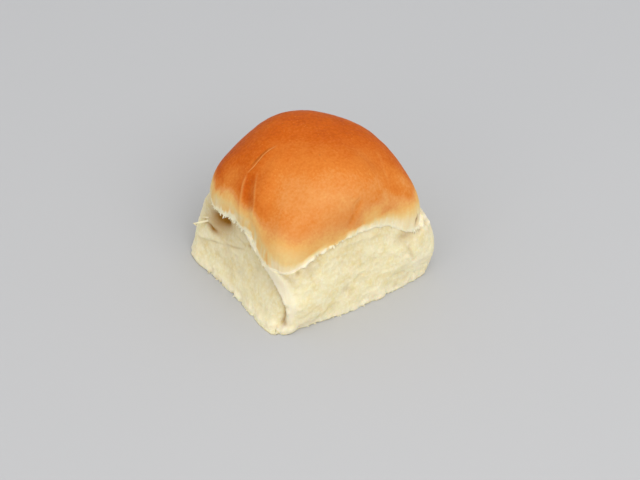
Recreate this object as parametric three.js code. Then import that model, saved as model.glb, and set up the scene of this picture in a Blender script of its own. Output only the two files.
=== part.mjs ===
// Pull-apart dinner roll: one piece of bread, a domed crust over four torn crumb sides.
// Millimetres, +Z up. The roll sits on its flat base; the wide front side faces -Y.
import * as THREE from "three";

// ---- Overall size ----
const CROWN_HEIGHT = 58;
const CROWN_TOP_X = 0.6;
const CROWN_TOP_Y = 6.6;

// ---- Torn sides: half widths of the loaf outline at a few heights [height, half width] ----
const LEFT_SIDE = [[0, 36.6], [8, 34.5], [18, 32.0], [28, 32.6], [36, 31.6]];
const RIGHT_SIDE = [[0, 35.2], [8, 37.2], [18, 38.0], [28, 34.6], [36, 32.4]];
const FRONT_SIDE = [[0, 32.0], [8, 32.1], [18, 31.2], [28, 29.4], [36, 28.4]];
const BACK_SIDE = [[0, 31.6], [8, 33.0], [18, 33.2], [28, 32.2], [36, 32.0]];
// How square the outline is: 2 is an ellipse, larger is squarer [height, power]
const SQUARENESS = [[0, 8.0], [10, 8.0], [22, 6.0], [30, 3.4], [36, 3.4]];
// Local swellings of the crumb: facing (degrees), angular spread, height, tallness, swelling
const SWELLINGS = [
  { facing: -41, spread: 0.40, height: 14, tall: 9, out: 1.4 },
  { facing: 142, spread: 0.25, height: 0, tall: 5, out: 1.6 },
  { facing: 140, spread: 0.40, height: 12, tall: 9, out: 2.6 },
  { facing: 140, spread: 0.35, height: 26, tall: 8, out: 1.9 },
  { facing: -138, spread: 0.30, height: 0, tall: 6, out: -0.7 },
  { facing: -138, spread: 0.35, height: 30, tall: 8, out: 1.6 },
];
// Pockets where the crumb pulled out deeper, under the crust of the left side
const POCKETS = [
  { facing: 151, height: 21.0, width: 3.2, depth: 2.4 },
  { facing: 165, height: 25.5, width: 3.4, depth: 2.6 },
];

// ---- Edge of the crust ----
const CRUST_EDGE_HEIGHT = 34.6;
// The edge drops at the corners and waves along the sides: facing, spread, rise
const CRUST_EDGE_WAVES = [
  { facing: -140, spread: 0.58, rise: -8.2 },
  { facing: -41, spread: 0.55, rise: -8.2 },
  { facing: 140, spread: 0.55, rise: -5.2 },
  { facing: 43, spread: 0.55, rise: -5.0 },
  { facing: -90, spread: 0.45, rise: 0.8 },
  { facing: -62, spread: 0.22, rise: -1.3 },
  { facing: -110, spread: 0.25, rise: 1.5 },
];
const CRUST_THICKNESS = 1.3;
const OVERHANG = 0.5;
// The crust stands further out over the torn crumb here: facing, spread, out
const OVERHANGS = [
  { facing: 180, spread: 0.45, out: 1.7 },
  { facing: -52, spread: 0.28, out: 1.2 },
  { facing: 60, spread: 0.50, out: 0.8 },
  { facing: -138, spread: 0.22, out: -0.5 },
];

// ---- Dome of the crust ----
// How full the dome's profile is: 2 is an ellipse, larger is boxier, by side of the roll
const DOME_FULLNESS = 2.96;
const DOME_RIGHT = 0.07;
const DOME_BACK = -0.23;
const DOME_OVAL = -0.44;
// The square outline of the edge gives way to an oval by this share of the way up the dome
const DOME_ROUND_BY = 0.65;
const DOME_OVAL_SIZE = 0.964;
const DOME_OVAL_HEIGHT = 36;
// Fold running from the left edge of the crust up to the crown
const FOLD = { facingAtEdge: 187, turn: -48, top: 0.8, width: 2.4, depth: 0.9 };
const FOLD_RIDGE = { offset: 3.6, width: 1.1, rise: 0.35 };
// Shallow dent pressed into the front of the dome
const DENT = { facing: -90, up: 0.19, length: 6.5, width: 2.6, depth: 0.6 };

// ---- Torn crumb: soft lumps [waves around, waves up, sway, phase, height] ----
const LUMPS = [
  [9, 0.8, 1.1, 0.4, 0.42],
  [14, 1.3, -1.7, 2.1, 0.34],
  [22, 1.9, 2.3, 4.0, 0.24],
  [31, 2.6, -1.2, 1.2, 0.18],
];
// Ragged bottom edge [waves around, phase, height]
const RAGGED_BASE = [[19, 0.7, 0.22], [31, 2.9, 0.20], [43, 5.1, 0.14]];
const BASE_EDGE_TUCK = 0.8;
const BASE_EDGE_HEIGHT = 1.0;

// ---- Facets ----
const AROUND = 104;
const SIDE_RINGS = 16;
const DOME_RINGS = 24;
const FULL_TURN = 2 * Math.PI;

/** Smooth curve through a short list of [position, value] stations. */
function along(stations, position) {
  const last = stations.length - 1;
  const at = Math.min(Math.max(position, stations[0][0]), stations[last][0]);
  let i = 0;
  while (i < last - 1 && at > stations[i + 1][0]) i += 1;
  const slope = (k) => {
    const before = stations[Math.max(k - 1, 0)];
    const after = stations[Math.min(k + 1, last)];
    return (after[1] - before[1]) / (after[0] - before[0]);
  };
  const [p0, v0] = stations[i];
  const [p1, v1] = stations[i + 1];
  const span = p1 - p0;
  const u = (at - p0) / span;
  const rise = 3 * u * u - 2 * u * u * u;
  const leave = u * u * u - 2 * u * u + u;
  const arrive = u * u * u - u * u;
  return v0 + (v1 - v0) * rise + span * (slope(i) * leave + slope(i + 1) * arrive);
}

/** Bell-shaped weight, 1 at the given facing and falling off with the angular spread. */
function bell(turn, facing, spread) {
  const away = turn - THREE.MathUtils.degToRad(facing);
  const wrapped = Math.atan2(Math.sin(away), Math.cos(away));
  return Math.exp(-((wrapped / spread) ** 2));
}

/** Distance from the middle to a rounded-square outline of a given power. */
function roundedSquare(turn, height, power) {
  const c = Math.cos(turn);
  const s = Math.sin(turn);
  const halfX = along(c < 0 ? LEFT_SIDE : RIGHT_SIDE, height);
  const halfY = along(s < 0 ? FRONT_SIDE : BACK_SIDE, height);
  return (Math.abs(c / halfX) ** power + Math.abs(s / halfY) ** power) ** (-1 / power);
}

/** Distance from the middle to the torn side at a turn and height, before the crumb relief. */
function outline(turn, height) {
  let reach = roundedSquare(turn, height, along(SQUARENESS, height));
  for (const { facing, spread, height: middle, tall, out } of SWELLINGS) {
    reach += out * bell(turn, facing, spread) * Math.exp(-(((height - middle) / tall) ** 2));
  }
  return reach;
}

/** Height of the crust's edge at a turn. */
function crustEdge(turn) {
  let height = CRUST_EDGE_HEIGHT;
  for (const { facing, spread, rise } of CRUST_EDGE_WAVES) height += rise * bell(turn, facing, spread);
  return height;
}

/** How far the crust's edge stands out over the crumb at a turn. */
function overhang(turn) {
  let out = OVERHANG;
  for (const { facing, spread, out: extra } of OVERHANGS) out += extra * bell(turn, facing, spread);
  return Math.max(out, 0);
}

/** Lumps and pockets of the torn crumb; up runs from 0 at the base to 1 under the crust. */
function crumbRelief(turn, up, height, reach) {
  let out = 0;
  for (const [around, rise, sway, phase, size] of LUMPS) {
    const lean = sway * Math.sin(FULL_TURN * up + phase);
    const upDown = Math.cos(FULL_TURN * rise * up + sway * Math.sin(3 * turn + phase));
    out += size * Math.sin(around * turn + lean + phase) * upDown;
  }
  out *= Math.sin(Math.PI * Math.min(Math.max(up, 0), 1)) ** 0.5;
  for (const { facing, height: middle, width, depth } of POCKETS) {
    const upDown = Math.exp(-(((height - middle) / width) ** 2));
    out -= depth * bell(turn, facing, width / reach) * upDown;
  }
  return out;
}

/** Waviness of the bottom edge at a turn. */
function baseRagged(turn) {
  let out = 0;
  for (const [around, phase, size] of RAGGED_BASE) out += size * Math.sin(around * turn + phase);
  return out;
}

/** A point at a turn, a reach from the middle and a height. */
function point(turn, reach, height) {
  return new THREE.Vector3(reach * Math.cos(turn), reach * Math.sin(turn), height);
}

/** One closed ring of points from a function of the turn. */
function ring(place) {
  return Array.from({ length: AROUND }, (_, i) => place((FULL_TURN * i) / AROUND));
}

/** Rings of the torn sides, from the base up to the underside of the crust. */
function sideRings() {
  const rings = [ring((turn) => {
    const reach = outline(turn, 0) + baseRagged(turn) - BASE_EDGE_TUCK;
    return point(turn, reach, 0);
  })];
  for (let k = 0; k < SIDE_RINGS; k += 1) {
    const up = k / (SIDE_RINGS - 1);
    rings.push(ring((turn) => {
      const top = crustEdge(turn) - CRUST_THICKNESS;
      const height = BASE_EDGE_HEIGHT + (top - BASE_EDGE_HEIGHT) * up;
      const reach = outline(turn, height);
      const tuck = overhang(turn) * THREE.MathUtils.smoothstep(up, 0.62, 1);
      const ragged = baseRagged(turn) * (1 - THREE.MathUtils.smoothstep(up, 0, 0.15));
      return point(turn, reach + crumbRelief(turn, up, height, reach) + ragged - tuck, height);
    }));
  }
  return rings;
}

/** Rings that round the crust's edge from its underside to its outer face. */
function edgeRings() {
  const steps = [[0.0, -0.4], [0.45, -0.05]];
  return steps.map(([rise, out]) => ring((turn) => {
    const height = crustEdge(turn) - CRUST_THICKNESS * (1 - rise);
    return point(turn, outline(turn, height) + out, height);
  }));
}

/** Fold and dent of the dome: how far the crust sinks (negative) or rises at a place on it. */
function crustRelief(turn, up, reach) {
  const fromFold = (degrees) => {
    const away = turn - THREE.MathUtils.degToRad(degrees);
    return Math.atan2(Math.sin(away), Math.cos(away)) * reach;
  };
  const across = fromFold(FOLD.facingAtEdge + FOLD.turn * up);
  const fade = 1 - THREE.MathUtils.smoothstep(up, FOLD.top * 0.6, FOLD.top);
  let out = -FOLD.depth * fade * Math.exp(-((across / FOLD.width) ** 2));
  for (const side of [-1, 1]) {
    const fromRidge = (across - side * FOLD_RIDGE.offset) / FOLD_RIDGE.width;
    out += FOLD_RIDGE.rise * fade * Math.exp(-(fromRidge ** 2));
  }
  const dentAcross = fromFold(DENT.facing) / DENT.width;
  const dentUp = ((up - DENT.up) * CROWN_HEIGHT) / DENT.length;
  return out - DENT.depth * Math.exp(-(dentAcross ** 2) - dentUp ** 2);
}

/** Rings of the dome, from the crust's edge to just short of the crown. */
function domeRings() {
  const rings = [];
  for (let k = 0; k < DOME_RINGS; k += 1) {
    const up = k / DOME_RINGS;
    rings.push(ring((turn) => {
      const edge = crustEdge(turn);
      const full = DOME_FULLNESS + DOME_RIGHT * Math.cos(turn) + DOME_BACK * Math.sin(turn)
        + DOME_OVAL * Math.cos(2 * turn);
      const inward = Math.cos((up * Math.PI) / 2) ** (2 / full);
      const upward = Math.sin((up * Math.PI) / 2) ** (2 / full);
      const oval = DOME_OVAL_SIZE * roundedSquare(turn, DOME_OVAL_HEIGHT, 2);
      const round = THREE.MathUtils.smoothstep(up, 0, DOME_ROUND_BY);
      const reach = THREE.MathUtils.lerp(outline(turn, edge), oval, round) * inward;
      const place = point(turn, reach + crustRelief(turn, up, reach), edge);
      place.x += CROWN_TOP_X * (1 - inward);
      place.y += CROWN_TOP_Y * (1 - inward);
      place.z += (CROWN_HEIGHT - edge) * upward;
      return place;
    }));
  }
  return rings;
}

/** Closed shell: the flat base fan, every ring in turn, and the crown. */
function closedShell(rings, bottom, crown) {
  const corners = [bottom, ...rings.flat(), crown];
  const positions = new Float32Array(corners.flatMap((p) => [p.x, p.y, p.z]));
  const at = (row, column) => 1 + row * AROUND + (column % AROUND);
  const faces = [];
  for (let i = 0; i < AROUND; i += 1) {
    faces.push(0, at(0, i + 1), at(0, i));
    faces.push(corners.length - 1, at(rings.length - 1, i), at(rings.length - 1, i + 1));
    for (let k = 0; k < rings.length - 1; k += 1) {
      faces.push(at(k, i), at(k, i + 1), at(k + 1, i + 1));
      faces.push(at(k, i), at(k + 1, i + 1), at(k + 1, i));
    }
  }
  const geometry = new THREE.BufferGeometry();
  geometry.setAttribute("position", new THREE.BufferAttribute(positions, 3));
  geometry.setIndex(faces);
  return geometry;
}

/** The whole roll, moved so that the middle of its footprint is at the origin. */
function breadRoll() {
  const rings = [...sideRings(), ...edgeRings(), ...domeRings()];
  const crown = new THREE.Vector3(CROWN_TOP_X, CROWN_TOP_Y, CROWN_HEIGHT);
  const geometry = closedShell(rings, new THREE.Vector3(0, 0, 0), crown);
  geometry.computeBoundingBox();
  const middle = geometry.boundingBox.getCenter(new THREE.Vector3());
  geometry.translate(-middle.x, -middle.y, 0);
  geometry.computeVertexNormals();
  const crust = new THREE.MeshStandardMaterial({ color: 0xd98a45, roughness: 0.62, metalness: 0 });
  const mesh = new THREE.Mesh(geometry, crust);
  mesh.name = "bread_roll";
  return mesh;
}

const group = new THREE.Group();
group.name = "pull_apart_roll";
group.add(breadRoll());

export default group;
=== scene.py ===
"""Pull-apart dinner roll: one piece of soft bread with a browned dome of crust over torn crumb.

Shapes are worked out in millimetres about the middle of the square that the roll stands on:
+X to the right of the wide torn front, +Y to the back, +Z up. The finished mesh is in metres,
moved so that the middle of its footprint is the frame's origin.
"""

import logging
import math
from dataclasses import dataclass, field
from enum import Enum, IntEnum

import bpy
import numpy as np
from mathutils import Matrix, Vector


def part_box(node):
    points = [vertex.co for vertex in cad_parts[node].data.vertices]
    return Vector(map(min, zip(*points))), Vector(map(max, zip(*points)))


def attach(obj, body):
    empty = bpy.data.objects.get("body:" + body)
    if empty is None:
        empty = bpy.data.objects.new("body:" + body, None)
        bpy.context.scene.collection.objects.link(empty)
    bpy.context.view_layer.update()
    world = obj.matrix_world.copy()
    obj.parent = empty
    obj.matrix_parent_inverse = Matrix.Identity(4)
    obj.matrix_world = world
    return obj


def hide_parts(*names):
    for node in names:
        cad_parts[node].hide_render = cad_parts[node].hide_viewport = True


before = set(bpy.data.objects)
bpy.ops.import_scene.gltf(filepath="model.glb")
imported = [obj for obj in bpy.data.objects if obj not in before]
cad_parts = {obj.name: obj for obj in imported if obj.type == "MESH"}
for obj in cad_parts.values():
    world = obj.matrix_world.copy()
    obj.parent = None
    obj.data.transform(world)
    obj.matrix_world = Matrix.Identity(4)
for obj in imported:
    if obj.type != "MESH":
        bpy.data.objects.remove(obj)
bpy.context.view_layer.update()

MM = 0.001
FULL_TURN = 2 * math.pi
NODE = "bread_roll"
SHARES = ("bake", "crumb", "shade", "pale")
LEVEL = np.array([1, 1, 0])
TINY = 1e-12
# a crease is measured at this many places of its path, and out to this many mm round them
CREASE_STEPS = 60
CREASE_REACH = 14
OUT_OF_REACH = 99.0
# noise is raised by this to fill -1 to 1; each finer layer has this share and this offset
NOISE_GAIN = 1.6
LAYER_SHARE = 0.55
LAYER_OFFSET = 31.7
LOG = logging.getLogger("roll")

# a smooth step's start and stop, or a range of values
Span = tuple[float, float]
# how one range is carried to another
Carry = tuple[Span, Span]
Place = tuple[float, float, float]
Path = tuple[Place, ...]
# (position, value) pairs that a smooth curve runs through
Stations = tuple[tuple[float, float], ...]
# layers of noise: cell size, height and seed
Layers = tuple[tuple[float, float, int], ...]
# screen colour of 0 to 255
Colour = tuple[int, int, int]


# ---------------------------------------------------------------- helpers on whole arrays

def ease(start: float, stop: float, value: np.ndarray) -> np.ndarray:
    """Smooth step: 0 up to start, 1 past stop, 3u^2 - 2u^3 between them."""
    u = np.clip((value - start) / (stop - start), 0, 1)
    return u * u * (3 - 2 * u)


def along(stations: Stations, position: np.ndarray) -> np.ndarray:
    """A smooth curve through a few stations.

    Args:
        stations: (position, value) pairs in rising order of position.
        position: where to read the curve; past the ends it stays level.

    Returns:
        The cubic Hermite value, whose slope at a station is the slope between its neighbours.
    """
    places, values = (np.array(column, float) for column in zip(*stations))
    slopes = np.gradient(values, places)
    position = np.clip(position, places[0], places[-1])
    i = np.clip(np.searchsorted(places, position, side="right") - 1, 0, len(places) - 2)
    span = places[i + 1] - places[i]
    u = (position - places[i]) / span
    rise = 3 * u**2 - 2 * u**3
    leave, arrive = u**3 - 2 * u**2 + u, u**3 - u**2
    return (values[i] + (values[i + 1] - values[i]) * rise
            + span * (slopes[i] * leave + slopes[i + 1] * arrive))


def hump(offset: np.ndarray) -> np.ndarray:
    """Bell curve exp(-x^2): 1 where the offset is nothing, about a third where it is 1."""
    return np.exp(-(offset**2))


def bell(turn: np.ndarray, facing: float, spread: float) -> np.ndarray:
    """Bell weight round the roll: 1 at the facing in degrees, falling off with the spread."""
    return hump(np.angle(np.exp(1j * (turn - math.radians(facing)))) / spread)


def facing_of(turn: np.ndarray) -> np.ndarray:
    """A direction round the roll in degrees, from -180 to 180."""
    return np.degrees(np.angle(np.exp(1j * turn)))


def arch(start: np.ndarray, handle: np.ndarray, stop: np.ndarray, share: np.ndarray) -> np.ndarray:
    """Curve from start to stop, pulled to a handle: (1-s)^2 start + 2s(1-s) handle + s^2 stop."""
    return start * (1 - share) ** 2 + 2 * handle * share * (1 - share) + stop * share**2


def unit(vectors: np.ndarray) -> np.ndarray:
    """Vectors scaled to length 1."""
    return vectors / np.maximum(np.linalg.norm(vectors, axis=-1, keepdims=True), TINY)


def smooth_path(points: Path, count: int) -> np.ndarray:
    """A Catmull-Rom curve through a few points.

    Args:
        points: the points that the path passes through.
        count: how many points to return.

    Returns:
        An array of count points, evenly spread over the spans.
    """
    p = np.array(points, float)
    p = np.vstack([2 * p[0] - p[1], p, 2 * p[-1] - p[-2]])
    at = np.linspace(0, len(points) - 1, count)
    i = np.minimum(at.astype(int), len(points) - 2)
    u = (at - i)[:, None]
    a, b, c, d = p[i], p[i + 1], p[i + 2], p[i + 3]
    return 0.5 * (2 * b + (c - a) * u + (2 * a - 5 * b + 4 * c - d) * u**2
                  + (3 * b - 3 * c + d - a) * u**3)


class Seed(IntEnum):
    """Which chance pattern a relief or a tone is drawn from."""

    STRANDS = 15
    PORE_PATCHES = 16
    PORES = 17
    BEAD = 19
    STREAKS = 31
    WANDER = 32
    CLOUDS = 33
    SWELLS = 34
    PUCKERS = 35
    DULL_SHADED_SKIN = 36
    WHITE_LIP = 37
    FIBRES = 38
    EDGE = 41
    SLIVERS = 64


@dataclass(frozen=True)
class Grain:
    """Repeatable chance patterns in space, the same on every run."""

    seed: int

    def scramble(self, *cells: np.ndarray) -> np.ndarray:
        """Even chance values for whole-number cells.

        Args:
            cells: one array of whole numbers for each coordinate.

        Returns:
            Values from 0 to 1, by multiplying and shifting each coordinate into the ones before.
        """
        mixed = np.full(cells[0].shape, (self.seed * 2654435761) & 0xFFFFFFFF, np.uint32)
        for cell, prime in zip(cells, (73856093, 19349663, 83492791, 49979687)):
            mixed ^= cell.astype(np.int64).astype(np.uint32) * np.uint32(prime)
            mixed ^= mixed >> np.uint32(15)
            mixed *= np.uint32(2246822519)
            mixed ^= mixed >> np.uint32(13)
        return mixed.astype(float) / 0xFFFFFFFF

    def noise(self, points: np.ndarray, size: float) -> np.ndarray:
        """Gradient noise.

        Args:
            points: places, with the three coordinates last.
            size: width of one cell, in the points' units.

        Returns:
            Values from about -1 to 1: each cell corner's chance slope, blended by quintic ease.
        """
        scaled = points / size
        low = np.floor(scaled)
        part = scaled - low
        fade = part**3 * (part * (part * 6 - 15) + 10)
        total = np.zeros(points.shape[:-1])
        for corner in np.ndindex(2, 2, 2):
            step = np.array(corner)
            cell = np.moveaxis(low + step, -1, 0)
            weight = np.prod(np.where(step == 1, fade, 1 - fade), axis=-1)
            lean = [self.scramble(*cell, np.full_like(cell[0], k)) * 2 - 1 for k in range(3)]
            total += weight * np.sum(np.stack(lean, -1) * (part - step), axis=-1)
        return total * NOISE_GAIN

    def rough(self, points: np.ndarray, size: float, layers: int = 3) -> np.ndarray:
        """Layered noise: each layer has half the cell and just over half the height."""
        return sum(LAYER_SHARE**k * self.noise(points + LAYER_OFFSET * k, size / 2**k)
                   for k in range(layers))

    def bubbles(self, points: np.ndarray, size: float) -> np.ndarray:
        """Round cells.

        Args:
            points: places, with the three coordinates last.
            size: mean distance between neighbouring cell centres.

        Returns:
            Distance to the nearest chance centre, in cell widths.
        """
        scaled = points / size
        low = np.floor(scaled)
        nearest = np.full(points.shape[:-1], OUT_OF_REACH)
        for corner in np.ndindex(3, 3, 3):
            cell = np.moveaxis(low + np.array(corner) - 1, -1, 0)
            centre = [cell[k] + self.scramble(*cell, np.full_like(cell[0], k + 7)) for k in range(3)]
            away = np.sqrt(sum((scaled[..., k] - centre[k]) ** 2 for k in range(3)))
            nearest = np.minimum(nearest, away)
        return nearest


def layered(points: np.ndarray, layers: Layers) -> np.ndarray:
    """The sum of a few layers of noise, each with its own cell size, height and seed."""
    return sum(height * Grain(seed).noise(points, size) for size, height, seed in layers)


# ---------------------------------------------------------------- the roll's own shape

@dataclass(frozen=True)
class Swelling:
    """A local swelling of the torn crumb, or a hollow where out is negative."""

    facing: float
    spread: float
    height: float
    tall: float
    out: float

    def near(self, turn: np.ndarray, height: np.ndarray) -> np.ndarray:
        """How near a place is: one bell round the roll times one up it."""
        return bell(turn, self.facing, self.spread) * hump((height - self.height) / self.tall)


@dataclass(frozen=True)
class Wave:
    """A local rise or overhang of the crust's edge."""

    facing: float
    spread: float
    amount: float


@dataclass(frozen=True)
class RollForm:
    """The roll's overall form: rounded-square sides, a waving crust edge and a full dome."""

    crown: Place = (0.6, 6.6, 58.0)
    left: Stations = ((0, 36.6), (8, 34.5), (18, 32.0), (28, 32.6), (36, 31.6))
    right: Stations = ((0, 35.2), (8, 37.2), (18, 38.0), (28, 34.6), (36, 32.4))
    front: Stations = ((0, 32.0), (8, 32.1), (18, 31.2), (28, 29.4), (36, 28.4))
    back: Stations = ((0, 31.6), (8, 33.0), (18, 33.2), (28, 32.2), (36, 32.0))
    squareness: Stations = ((0, 8.0), (10, 8.0), (22, 6.0), (30, 3.4), (36, 3.4))
    swellings: tuple[Swelling, ...] = (
        Swelling(-41, 0.40, 14, 9, 1.4), Swelling(142, 0.25, 0, 4, 2.2),
        Swelling(140, 0.40, 12, 9, 1.6), Swelling(140, 0.35, 26, 8, 1.1),
        Swelling(-138, 0.30, 0, 6, -0.7), Swelling(-138, 0.35, 30, 8, 1.6),
        Swelling(148, 0.26, 32, 4.5, 1.7), Swelling(-36, 0.16, 6, 5, 1.2),
    )
    # how far the torn foot spreads on the floor, by facing in degrees
    foot: Stations = (
        (-180, 0.7), (-170, 0.8), (-160, 1.3), (-152, 2.0), (-145.5, 2.7), (-141.5, 2.3),
        (-136, 0.8), (-130, -0.6), (-120, -0.3), (-109, 0.8), (-102, 1.4), (-90, 1.3), (-81, 1.2),
        (-74, 1.9), (-65, 0.6), (-60, 0.9), (-53, 0.2), (-45, 0.5), (-39, 0.9), (-33, 1.0),
        (-24, 0.5), (-10, 0.2), (20, 0.5), (60, 0.2), (100, 0.6), (143, 0.0), (153, 0.8),
        (160, 1.0), (170, 0.7), (180, 0.7))
    foot_tall: float = 4.5
    # bites out of the foot: facing in degrees and depth
    notches: tuple[tuple[float, float], ...] = (
        (220.6, 1.2), (160, 0.9), (169, 0.6), (181, 0.9), (190, 0.7), (203, 0.8), (291, 0.9),
        (262, 0.4), (33, 0.8), (95, 0.9), (128, 0.7))
    notch_spread: float = 0.01875
    notch_tall: float = 1.8
    # height of the crust's lower edge by facing in degrees: it hangs low at each corner
    edge_heights: Stations = (
        (-180, 30.9), (-168, 31.3), (-161, 28.2), (-155, 25.8), (-145, 25.9), (-137, 26.5),
        (-132, 28.3), (-124, 31.2), (-115, 33.0), (-105, 33.8), (-95, 34.2), (-83, 34.1),
        (-72, 33.4), (-62, 31.0), (-54, 26.6), (-48, 24.4), (-42, 24.6), (-32, 27.4), (-18, 31.4),
        (0, 33.8), (20, 32.0), (43, 29.4), (62, 31.8), (85, 34.2), (110, 32.6), (130, 30.2),
        (147, 29.5), (159, 29.6), (169, 31.6), (180, 30.9))
    ripples: Layers = ((5.0, 0.5, 21), (2.4, 0.35, 22))
    ripple_radius: float = 36.0
    fullness: float = 2.96
    fuller_right: float = 0.07
    fuller_back: float = -0.23
    fuller_ends: float = -0.44
    round_by: float = 0.65
    oval_size: float = 0.964
    oval_height: float = 36.0
    # columns are spread evenly along the outline at this height, measured in fine steps
    even_height: float = 12.0
    fine_steps: int = 20

    def rounded_square(self, turn: np.ndarray, height: np.ndarray, power: np.ndarray) -> np.ndarray:
        """Distance to a rounded square.

        Args:
            turn: direction round the roll.
            height: height over the floor, where the half widths are read.
            power: squareness, from 2 for an oval up.

        Returns:
            Distance to the outline |x/a|^n + |y/b|^n = 1, with a and b the half widths.
        """
        c, s = np.cos(turn), np.sin(turn)
        half_x = np.where(c < 0, along(self.left, height), along(self.right, height))
        half_y = np.where(s < 0, along(self.front, height), along(self.back, height))
        return (np.abs(c / half_x) ** power + np.abs(s / half_y) ** power) ** (-1 / power)

    def outline(self, turn: np.ndarray, height: np.ndarray) -> np.ndarray:
        """Distance to the side.

        Args:
            turn: direction round the roll.
            height: height over the floor.

        Returns:
            The rounded square plus the bells of the swellings and the spread foot, less the bells of
            the notches.
        """
        reach = self.rounded_square(turn, height, along(self.squareness, height))
        for swelling in self.swellings:
            reach = reach + swelling.out * swelling.near(turn, height)
        reach = reach + along(self.foot, facing_of(turn)) * hump(height / self.foot_tall)
        for at, depth in self.notches:
            bite = depth * bell(turn, at, self.notch_spread)
            reach = reach - bite * hump(height / self.notch_tall)
        return reach

    def edge(self, turn: np.ndarray) -> np.ndarray:
        """Height of the crust's lower edge.

        Args:
            turn: direction round the roll.

        Returns:
            Broad waves by facing plus small ripples of noise on a circle.
        """
        circle = np.stack([np.cos(turn), np.sin(turn), np.zeros_like(turn)], -1)
        ripples = layered(circle * self.ripple_radius, self.ripples)
        return ripples + along(self.edge_heights, facing_of(turn))

    def side(self, turn: np.ndarray, height: np.ndarray) -> np.ndarray:
        """Points on the side at a turn and height."""
        reach = self.outline(turn, height)
        return np.stack([reach * np.cos(turn), reach * np.sin(turn), height], -1)

    def dome(self, turn: np.ndarray, up: np.ndarray) -> np.ndarray:
        """Points on the dome.

        Args:
            turn: direction round the roll.
            up: 0 at the crust's edge to 1 at the crown.

        Returns:
            A superellipse profile from the edge to the crown, over an outline that eases from
            the edge's rounded square to an oval.
        """
        edge = self.edge(turn)
        full = (self.fullness + self.fuller_right * np.cos(turn)
                + self.fuller_back * np.sin(turn) + self.fuller_ends * np.cos(2 * turn))
        quarter = up * math.pi / 2
        inward = np.maximum(np.cos(quarter), 0) ** (2 / full)
        upward = np.sin(quarter) ** (2 / full)
        oval = self.oval_size * self.rounded_square(
            turn, np.full_like(turn, self.oval_height), np.full_like(turn, 2.0))
        round_share = ease(0, self.round_by, up)
        reach = (self.outline(turn, edge) * (1 - round_share) + oval * round_share) * inward
        return np.stack([
            reach * np.cos(turn) + self.crown[0] * (1 - inward),
            reach * np.sin(turn) + self.crown[1] * (1 - inward),
            edge + (self.crown[2] - edge) * upward,
        ], -1)

    def even_turns(self, count: int) -> np.ndarray:
        """Directions for the columns.

        Args:
            count: how many.

        Returns:
            Directions spread evenly by the outline's length, not by angle.
        """
        fine = np.linspace(0, FULL_TURN, self.fine_steps * count + 1)
        reach = self.outline(fine, np.full_like(fine, self.even_height))
        x, y = reach * np.cos(fine), reach * np.sin(fine)
        length = np.concatenate([[0], np.cumsum(np.hypot(np.diff(x), np.diff(y)))])
        return np.interp(np.linspace(0, length[-1], count, endpoint=False), length, fine)


class Lean(Enum):
    """Which side of a crease is pressed down."""

    BOTH = 0
    LEFT = 1
    RIGHT = -1


@dataclass(frozen=True)
class Crease:
    """A line pressed into the surface: a groove, a ledge or a stretched pale seam."""

    path: Path
    width: float
    depth: float
    lean: Lean = Lean.BOTH
    far_width: float = 1.0
    pale: float = 0.0
    shade: float = 0.0
    taper: float = 0.25

    def measure(self, points: np.ndarray, normals: np.ndarray) -> tuple[np.ndarray, np.ndarray]:
        """Distance from the path.

        Args:
            points: places on the surface.
            normals: the surface's unit normals there.

        Returns:
            Signed distance from the path, positive on its left seen from outside, and the
            share of the path's length at the nearest place, both arrays like the points.
        """
        line = smooth_path(self.path, CREASE_STEPS)
        away = np.full(points.shape[:-1], OUT_OF_REACH)
        share = np.zeros_like(away)
        low, high = line.min(0) - CREASE_REACH, line.max(0) + CREASE_REACH
        near = np.all((points > low) & (points < high), axis=-1)
        p, n = points[near], normals[near]
        gaps = np.linalg.norm(p[:, None, :] - line[None], axis=-1)
        best = gaps.argmin(1)
        forward = unit(np.gradient(line, axis=0))[best]
        sideways = np.sum(np.cross(n, forward) * (p - line[best]), axis=-1)
        across = np.where(sideways < 0, -1, 1) * gaps.min(1)
        away[near], share[near] = across, best / (len(line) - 1)
        return away, share

    def press(self, points: np.ndarray, normals: np.ndarray) -> tuple[np.ndarray, ...]:
        """Relief, paleness and shade of the crease.

        Args:
            points: places on the surface.
            normals: the surface's unit normals there.

        Returns:
            Outward move in mm, pale share and painted shade share: bells across the path, fading at
            its ends; a leaning crease has its wide bell only on the pressed side.
        """
        away, share = self.measure(points, normals)
        fade = ease(0, self.taper, share) * ease(0, self.taper, 1 - share)
        fade = np.where(away == OUT_OF_REACH, 0, np.sqrt(fade))
        narrow = hump(away / self.width)
        pressed = narrow
        if self.lean is not Lean.BOTH:
            pressed = np.where(away * self.lean.value > 0, hump(away / self.far_width), narrow)
        return -self.depth * pressed * fade, self.pale * narrow * fade, self.shade * pressed * fade


@dataclass(frozen=True)
class Pocket:
    """A dent or mound at a place on the surface, drawn out along the tear if tall."""

    place: Place
    width: float
    tall: float
    depth: float
    shade: float = 0.0
    pale: float = 0.0

    def press(self, points: np.ndarray) -> tuple[np.ndarray, ...]:
        """Relief, shade and paleness of the pocket.

        Args:
            points: places on the surface.

        Returns:
            Outward move in mm, painted shade share and pale share (a negative shade with pale is
            painted light): a bell of the level distance times one of the height.
        """
        gap = points - np.array(self.place)
        near = hump(np.hypot(gap[..., 0], gap[..., 1]) / self.width) * hump(gap[..., 2] / self.tall)
        return -self.depth * near, self.shade * near, self.pale * near


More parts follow.
